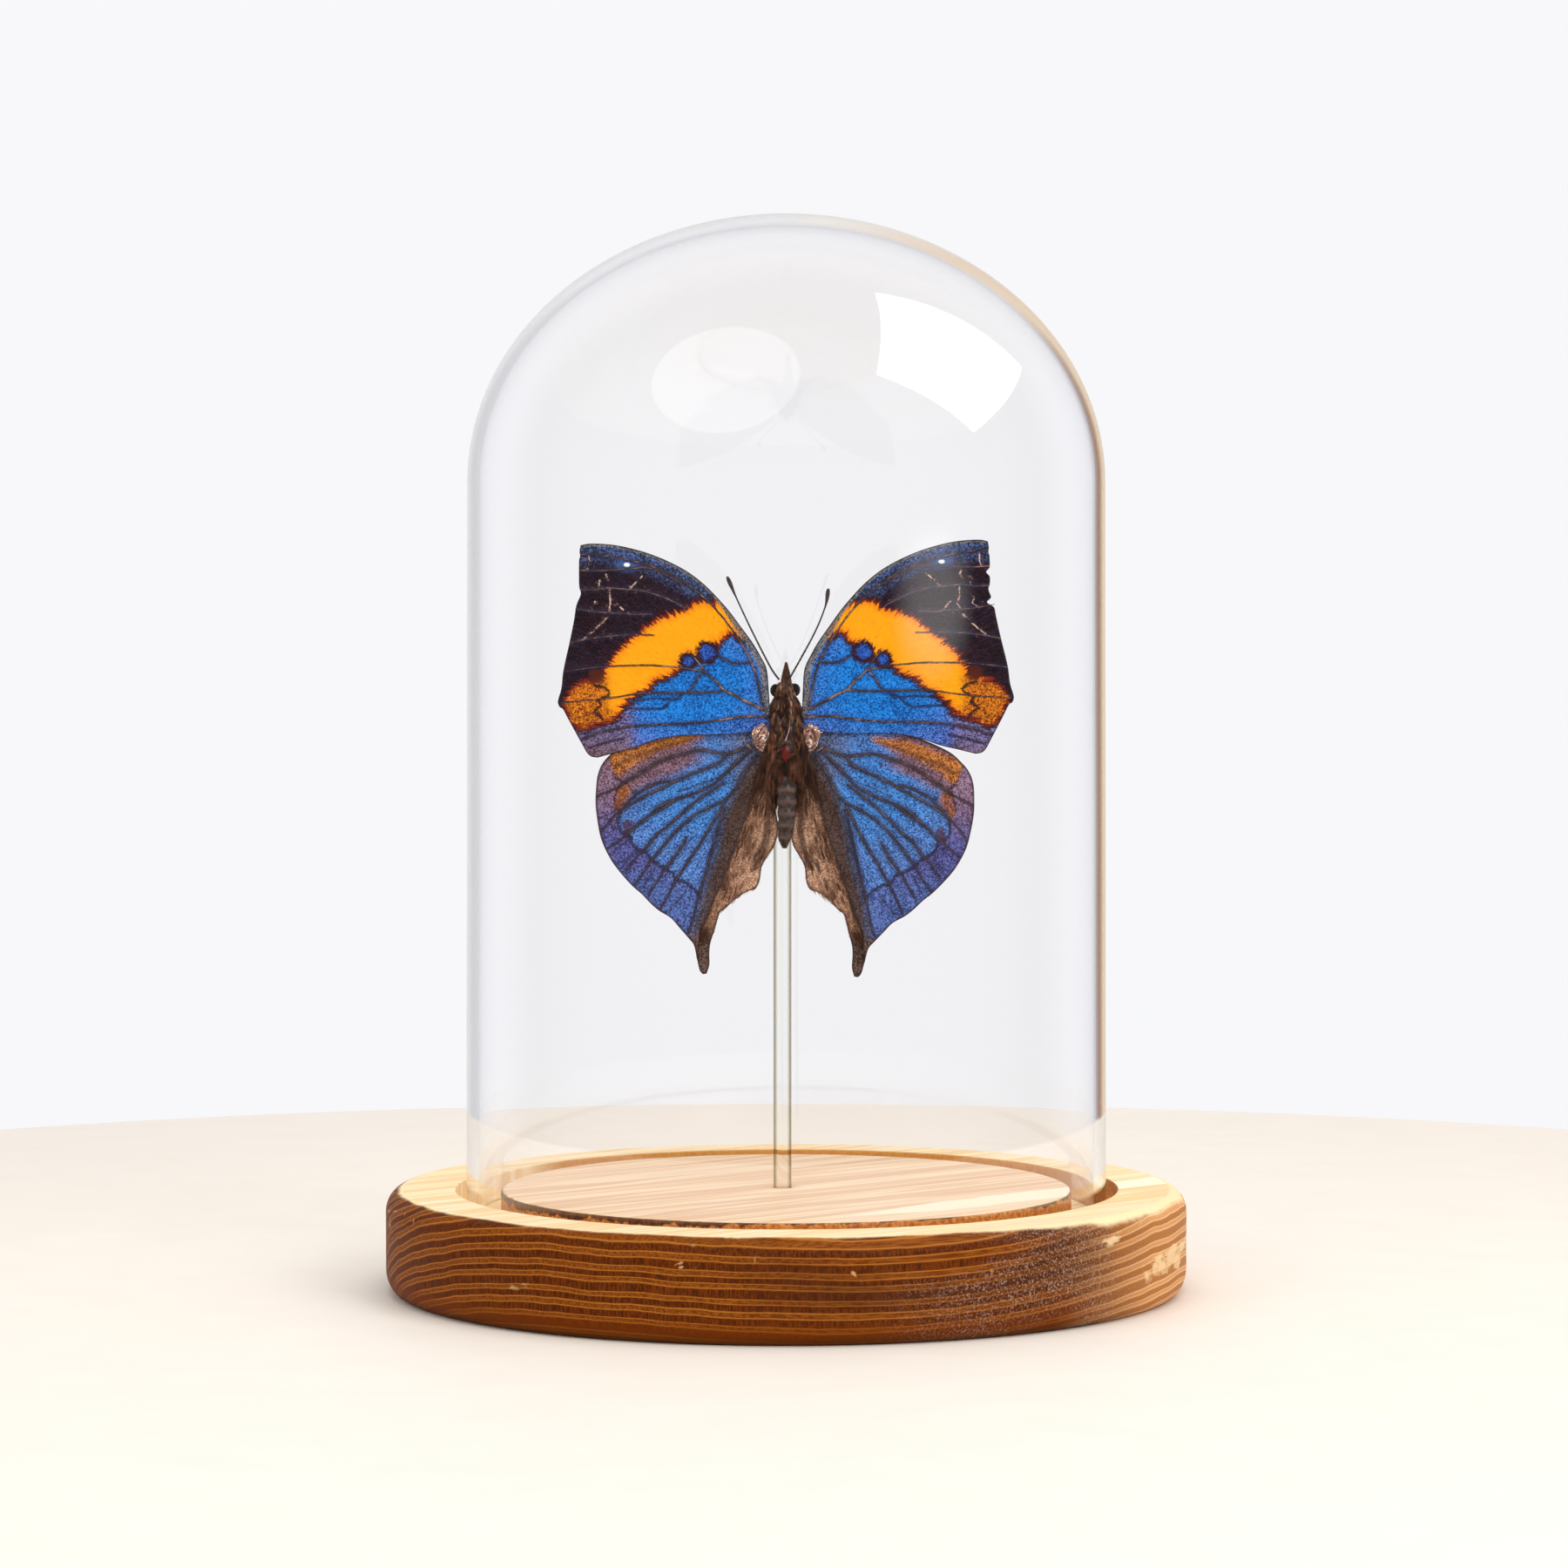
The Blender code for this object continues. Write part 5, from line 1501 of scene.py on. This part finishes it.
def make_groove_wood(plank):
    """Groove: pale floor, burnt inner wall under a honey rim, and a toasted outer wall that is painted
    lighter towards the back, as painted light.
    """
    made, g, shader = new_material("charred_groove_wood", Roughness=0.6, Specular_IOR_Level=0.3)
    x, y, z, radius = polar(g)
    teeth = g.noise(g.place((30.0, 420.0, 60.0), turn=BOARD_GRAIN), 1.0, 3.0, 0.6)
    fine = g.noise(g.place(), 1300.0, 3.0, 0.6)
    pale = g.mix(g.use(plank)["Line"], "#f0cf98", "#fbe7c2")
    honey = g.blend("#a3540c", "#d08a38", fine, 0.36, 0.64)
    burnt = g.blend("#331303", "#6a340c", fine, 0.36, 0.64)
    sway = g.times(g.minus(teeth, 0.5), 3.6)
    level = g.plus(z, g.plus(sway, g.span(x, -34.0, 8.0, 0.5, -0.35)))
    color = g.blend(pale, g.blend(honey, burnt, level, 18.3, 18.6), radius, 54.4, 53.7)
    outer = g.times(g.span(radius, 61.0, 61.8), g.span(x, -54.0, -44.0))
    toasted = g.blend("#8a4a16", "#bd7a34", fine, 0.36, 0.64)
    wall = g.blend(honey, toasted, z, 15.5, 17.5)
    # the outer wall painted lighter towards the back: painted light over the shade it sits in
    wall = g.blend(wall, "#e0a552", y, 0.0, 30.0, 0.0, 0.6)
    g.finish(shader, g.mix(outer, color, wall), fine, 0.4, 0.0002)
    return made


def make_wood_finishes(rings, plank, wear):
    """Cream top ring, rosy disc, scorched side and charred groove of one block of softwood."""
    cream = make_top_wood("cream_top_wood", plank, wear, "#f8dba7", "#ebc286", "#fff2d2")[0]
    return [cream, make_rosy_wood(plank, wear), make_side_wood(rings, wear), make_groove_wood(plank)]


def make_base(finishes):
    """The turned block: foot, bulged side, flat top, ring groove, disc and the rod's blind hole."""
    top, floor_z, hole_z = BASE_HEIGHT, BASE_HEIGHT - GROOVE_DEPTH, BASE_HEIGHT - ROD_HOLE_DEPTH
    outer, inner = GROOVE_OUTER_RADIUS, GROOVE_INNER_RADIUS
    side, disc, cream, groove = 2, 1, 0, 3
    sections = [
        (side, np.array([(0.01, 0.0), (30.0, 0.0), (60.0, 0.0), (70.0, 0.0)])),
        (side, arc((FOOT_RADIUS, 4.5), (BASE_RADIUS - FOOT_RADIUS, 4.5), -90, 0, 14)),
        (side, np.linspace((BASE_RADIUS, 5.2), (BASE_RADIUS, top - 4.7), 12)),
        (side, arc((TOP_RADIUS, top - 4.0), (BASE_RADIUS - TOP_RADIUS, 4.0), 0, 90, 16)),
        (cream, np.linspace((TOP_RADIUS - 1, top), (outer + 0.3, top), 8)),
        (groove, arc((outer + 0.3, top - 0.3), (0.3, 0.3), 115, 180, 4)),
        (groove, np.linspace((outer, top - 1), (outer, floor_z + 0.2), 8)),
        (groove, np.linspace((outer - 0.2, floor_z), (inner + 0.2, floor_z), 8)),
        (groove, np.linspace((inner, floor_z + 0.2), (inner, top - 1), 8)),
        (groove, arc((inner - 0.35, top - 0.35), (0.35, 0.35), 0, 75, 4)),
        (disc, np.linspace((inner - 0.6, top), (ROD_HOLE_RADIUS + 0.2, top), 24)),
        (disc, np.array([(ROD_HOLE_RADIUS, top - 0.2), (ROD_HOLE_RADIUS, hole_z + 0.1),
                         (ROD_HOLE_RADIUS - 0.2, hole_z), (0.01, hole_z)])),
    ]
    outline = np.concatenate([points for _, points in sections])
    slot_of = np.concatenate([np.full(len(points), slot) for slot, points in sections])
    # the disc's rings slide over to the rod's hole, which stands off the axis
    near_hole = np.where(slot_of == disc, ease(outline[:, 0], 30.0, ROD_HOLE_RADIUS), 0.0)
    points, (quads, bottom, lid) = lathe(np.column_stack((outline, ROD_X * near_hole)), BASE_STEPS)
    band_slot = slot_of[1:].repeat(BASE_STEPS)
    blocks = [quads[band_slot == slot] for slot in range(4)]
    form = Form()
    form.add(points, blocks + [bottom, lid], [0, 1, 2, 3, side, disc])
    stand_for(form.piece("turned_block", finishes, sharp_angle=50.0), ["wooden_base"])


# Glass, rod and glue ---------------------------------------------------------------------------------
def make_clear(name, color, ior, density, roughness=0.0, ripple=0.02, edge=None):
    """Clear material that lets lamps through: refracting for the eye, see-through for shadows. An
    edge colour tints the sides of a rod where it is seen at a slant: a painted dark edge, standing in
    for the reflection and refraction at the rod's sides."""
    made, g, shader = new_material(name, Roughness=roughness, IOR=ior, Transmission_Weight=1.0)
    shader.inputs["Base Color"].default_value = tone(color)
    if edge:
        # darker where seen at a slant: a painted dark edge on the rod's sides
        facing = g.add("ShaderNodeLayerWeight", {"Blend": 0.5}).outputs["Facing"]
        g.feed(shader.inputs["Base Color"], g.blend(color, edge, facing, 0.08, 0.42))
    if ripple:
        waves = g.noise(g.place(), density, 0.0, 0.5)
        g.feed(shader.inputs["Normal"], g.bump(waves, ripple, 0.001))
    through = g.add("ShaderNodeBsdfTransparent", {0: color})
    shadow = g.add("ShaderNodeLightPath").outputs["Is Shadow Ray"]
    mixed = g.add("ShaderNodeMixShader", {0: shadow, 1: shader.outputs[0], 2: through.outputs[0]})
    output = made.node_tree.nodes["Material Output"]
    g.feed(output.inputs["Surface"], mixed.outputs[0])
    return made


def make_dome(glass):
    """The blown dome: straight wall, half-ellipse cap, even wall and a rounded rim. Its radius sways
    by a few hundredths of a millimetre round the wall, as blown glass does."""
    cap = DOME_TOP_Z - DOME_SHOULDER_Z
    rim_middle = (DOME_RADIUS - DOME_WALL / 2, DOME_RIM_Z + DOME_WALL / 2)
    rise = np.linspace(DOME_RIM_Z + DOME_WALL / 2, DOME_SHOULDER_Z, 60)[1:-1]
    share = (rise - DOME_RIM_Z) / (DOME_SHOULDER_Z - DOME_RIM_Z)
    wall = DOME_RADIUS + (DOME_SHOULDER_RADIUS - DOME_RADIUS) * share
    outline = np.concatenate((
        arc((0.0, DOME_SHOULDER_Z), (DOME_SHOULDER_RADIUS - DOME_WALL, cap - DOME_WALL), 89.98, 0, 70),
        np.column_stack((wall - DOME_WALL, rise))[::-1],
        arc(rim_middle, (DOME_WALL / 2, DOME_WALL / 2), 180, 360, 15),
        np.column_stack((wall, rise)),
        arc((0.0, DOME_SHOULDER_Z), (DOME_SHOULDER_RADIUS, cap), 0, 89.98, 70),
    ))
    points, faces = lathe(outline, DOME_STEPS)
    angle, z = np.arctan2(points[:, 1], points[:, 0]), points[:, 2]
    sway = 1 + 0.0005 * np.sin(3 * angle + 0.02 * z) + 0.0003 * np.sin(0.09 * z + angle)
    points[:, :2] *= sway[:, None]
    form = Form()
    form.add(points, faces)
    return stand_for(form.piece("blown_dome", [glass]), ["glass_dome"])


def make_rod(acrylic):
    """The clear rod: a round bar with eased ends, standing in the base."""
    round_off = (0.25, 0.25)
    corner = ROD_RADIUS - round_off[0]
    outline = np.concatenate((
        [(0.01, ROD_BOTTOM_Z)],
        arc((corner, ROD_BOTTOM_Z + round_off[1]), round_off, -90, 0, 5),
        np.linspace((ROD_RADIUS, ROD_BOTTOM_Z + 1), (ROD_RADIUS, ROD_TOP_Z - 1), 60),
        arc((corner, ROD_TOP_Z - round_off[1]), round_off, 0, 90, 5),
        [(0.01, ROD_TOP_Z)],
    ))
    form = Form()
    form.add(*lathe(np.column_stack((outline, np.full(len(outline), ROD_X))), ROD_STEPS))
    stand_for(form.piece("clear_rod", [acrylic]), ["mounting_rod"])


def make_glue(glue):
    """The set bead of glue: smoothed rings with a lumpy outline."""
    form = Form()
    form.add(*ringed(GLUE_RINGS, 40, 40, lambda z, a: 1 + 0.05 * np.sin(3 * a + z) + 0.03 * np.cos(5 * a)))
    stand_for(form.piece("set_glue", [glue]), ["glue_bead"])


# Studio ----------------------------------------------------------------------------------------------
def placed_object(name, data, place):
    """A camera, lamp or mesh put into the scene at a place."""
    made = bpy.data.objects.new(name, data)
    bpy.context.scene.collection.objects.link(made)
    made.location = place
    return made


def hide(thing, *rays):
    """Keep a thing out of sight of some kinds of ray."""
    for kind in rays:
        setattr(thing, "visible_" + kind, False)


def lamp(name, place, target, size, power):
    """An area lamp turned to a target, which only lights surfaces and isn't seen."""
    data = bpy.data.lights.new(name, "AREA")
    data.shape = "RECTANGLE"
    data.size, data.size_y = size
    data.energy = power
    made = placed_object(name, data, place)
    direction = Vector(target) - made.location
    made.rotation_euler = direction.to_track_quat("-Z", "Y").to_euler()
    hide(made, "camera", "transmission", "glossy")
    return made


def even(g, a, b):
    """The same glow all over a card."""
    return 1.0


def round_spot(g, a, b):
    """A round glow: full where a^2 + b^2 < 0.9 and none beyond 1."""
    return g.span(g.plus(g.times(a, a), g.times(b, b)), 1.0, 0.9)


def soft_glow(g, a, b):
    """A glow that fades from the middle, as the square of a smooth step of a^2 + b^2."""
    fading = g.span(g.plus(g.times(a, a), g.times(b, b)), 1.0, 0.0)
    return g.times(fading, fading)


def reflector(name, place, across, up, size, strength, shape):
    """A glowing card seen only in reflections. Its points are place + a across + b up, and shape(g, a, b)
    gives how strongly it glows from -1 to 1 in both directions."""
    made, g, shader = new_material(name, Roughness=1.0, Base_Color=(0.0, 0.0, 0.0, 1.0),
                                   Specular_IOR_Level=0.0, Emission_Strength=strength)
    a, b, _ = g.add("ShaderNodeSeparateXYZ", {0: g.place((2 / size[0], 2 / size[1], 1.0))}).outputs
    level = shape(g, a, b)
    glow = g.add("ShaderNodeCombineColor", {0: level, 1: level, 2: level})
    g.feed(shader.inputs["Emission Color"], glow.outputs[0])
    steps = np.linspace(-0.5, 0.5, 9)
    u, v = np.meshgrid(steps, steps, indexing="ij")
    flat = np.stack([u.ravel() * size[0], v.ravel() * size[1], np.zeros(u.size)], axis=1) / MM
    form = Form()
    form.add(flat, [grid_quads(*u.shape)])
    piece = form.piece(name, [made])
    turn = Matrix((across, up, np.cross(across, up))).transposed().to_4x4()
    piece.matrix_world = Matrix.Translation(place) @ turn
    hide(piece, "camera", "diffuse", "transmission", "shadow")


def make_world():
    """Pale surroundings. Reflections, and light that only grazes the glass wall, see another room:
    dark in front, pale at the sides and behind, with a tan and brown line on the right. Light that
    has gone right through the dome has passed at least three glass faces."""
    world = bpy.data.worlds.new("pale_studio")
    bpy.context.scene.world = world
    world.use_nodes = True
    g = Graph(world.node_tree)
    background = world.node_tree.nodes["Background"]
    direction = g.add("ShaderNodeTexCoord").outputs["Generated"]
    x, y, z = g.add("ShaderNodeSeparateXYZ", {0: direction}).outputs
    through = g.blend("#dcdcdf", "#fafafd", g.size(z), 0.75, 0.2)
    left = g.blend("#f2f2f4", "#d8d6d9", x, -0.22, -0.40)
    right = g.blend("#f8f4f0", "#f2dcc4", x, 0.02, 0.20)
    right = g.blend(right, "#94715c", x, 0.29, 0.40)
    edge = g.blend(left, right, x, -0.02, 0.04)
    gloss = g.blend(edge, "#dcdce2", y, 0.895, 0.86)
    gloss = g.blend(gloss, "#29292b", y, 0.62, 0.1)
    path = g.add("ShaderNodeLightPath").outputs
    color = g.mix(path["Is Glossy Ray"], "#f8f8fa", gloss)
    crossed = g.math("GREATER_THAN", path["Transmission Depth"], 2.5)
    color = g.mix(crossed, color, through)
    color = g.mix(path["Is Diffuse Ray"], color, "#e6e6e8")
    g.feed(background.inputs["Color"], color)
    background.inputs["Strength"].default_value = 1.0


def make_floor():
    """A round pale table top under the object: a thin turned slab with an eased edge."""
    made, g, shader = new_material("pale_table", Roughness=0.6)
    g.finish(shader, g.mix(g.noise(g.place(), 60.0, 3.0, 0.5), "#e9dfd2", "#efe6da"))
    middle, corner = TABLE_RADIUS - TABLE_EDGE, (TABLE_EDGE, TABLE_EDGE)
    outline = np.concatenate((
        [(0.01, 0.0), (150.0, 0.0)], arc((middle, -TABLE_EDGE), corner, 90, 0, 6),
        arc((middle, TABLE_EDGE - TABLE_DEPTH), corner, 0, -90, 6), [(0.01, -TABLE_DEPTH)]))
    form = Form()
    form.add(*lathe(outline, TABLE_STEPS))
    form.piece("pale_table_top", [made], sharp_angle=50.0)


def make_camera():
    """The camera 0.95 m in front, looking slightly down at the wings."""
    data = bpy.data.cameras.new("front_camera")
    data.sensor_width = 36.0
    data.lens = CAMERA_LENS
    data.clip_start = 0.01
    made = placed_object("front_camera", data, CAMERA_PLACE)
    made.rotation_euler = (math.pi / 2 - CAMERA_DIP, 0.0, 0.0)
    bpy.context.scene.camera = made
    bpy.context.scene.view_settings.view_transform = "Standard"


def make_lamps():
    """Soft key from the upper right front, fill from the left and above, and the cards whose
    reflections show on the dome: a window, a faint round lamp and a soft glow."""
    target = (0.0, -0.01, 0.09)
    lamp("key", (0.85, -1.0, 0.80), target, (0.7, 0.7), 8.0)
    lamp("fill", (-1.0, -1.05, 0.5), target, (0.8, 0.8), 4.2)
    lamp("overhead", (0.1, -0.15, 1.2), target, (0.9, 0.9), 5.0)

    # a small lamp for the gloss of the insect and the wood, left out for the glass
    sparkle = lamp("sparkle", (0.35, -0.75, 0.55), target, (0.16, 0.16), 3.0)
    sparkle.visible_glossy = True
    sparkle.visible_diffuse = False
    lit = bpy.data.collections.new("sparkle_receivers")
    for piece in bpy.data.objects:
        if piece.type == "MESH" and piece.name not in ("blown_dome", "clear_rod"):
            lit.objects.link(piece)
    sparkle.light_linking.receiver_collection = lit
    reflector("window", (0.471, -0.061, 0.634), (0.686, 0.32, -0.654), (0.189, -0.946, -0.264),
              (0.50, 0.57), 4.0, even)
    reflector("round_lamp", (-0.221, -0.430, 0.651), (0.018, 0.772, 0.636), (-0.939, 0.232, -0.255),
              (0.68, 0.60), 1.5, round_spot)
    reflector("side_glow", (0.566, -0.451, 0.1285), (0.59, 0.807, 0.0), (0.0, 0.0, 1.0),
              (0.50, 0.060), 2.4, soft_glow)


def main():
    """Build the stage, the finishes and every piece."""
    make_camera()
    make_world()
    make_floor()
    speckle = make_scale_speckle()
    ragged = make_ragged()
    make_base(make_wood_finishes(make_growth_rings(), make_plank_lines(), make_wear()))
    dome = make_dome(make_clear("clear_blown_glass", "#ffffff", 1.5, 9.0, ripple=0.0))
    dome.visible_diffuse = False
    # the rod's slanted sides get a painted dark edge
    make_rod(make_clear("clear_acrylic_bar", "#fdfdf9", 1.49, 40.0, edge="#766c48"))
    make_glue(make_clear("clear_set_glue", "#f4efdf", 1.47, 900.0, roughness=0.1, ripple=0.3))
    body = make_body_finishes(make_hair_tint())
    vein = make_vein_finish("copper_veins", "#24140f", "#a3765e", 0.3)
    wings = {
        "forewing": make_forewing_finish(speckle, ragged),
        "hindwing": make_hindwing_finish(speckle, ragged),
        "underside": make_underside_finish(speckle, ragged),
        "vein": vein,
        "dark_vein": make_vein_finish("dark_veins", "#1d1216", "#6a4a42", 0.1),
    }
    make_wings(wings, body["fold_hair"])
    make_thorax(body["hair"], body["skin"], body["copper"], body["gloss"], body["streak"], vein)
    make_abdomen(body["dark_hair"], body["skin"])
    make_head(body["hair"], body["skin"], body["eye"])
    make_limbs(body["hair"], body["horn"], body["skin"])
    make_lamps()


main()
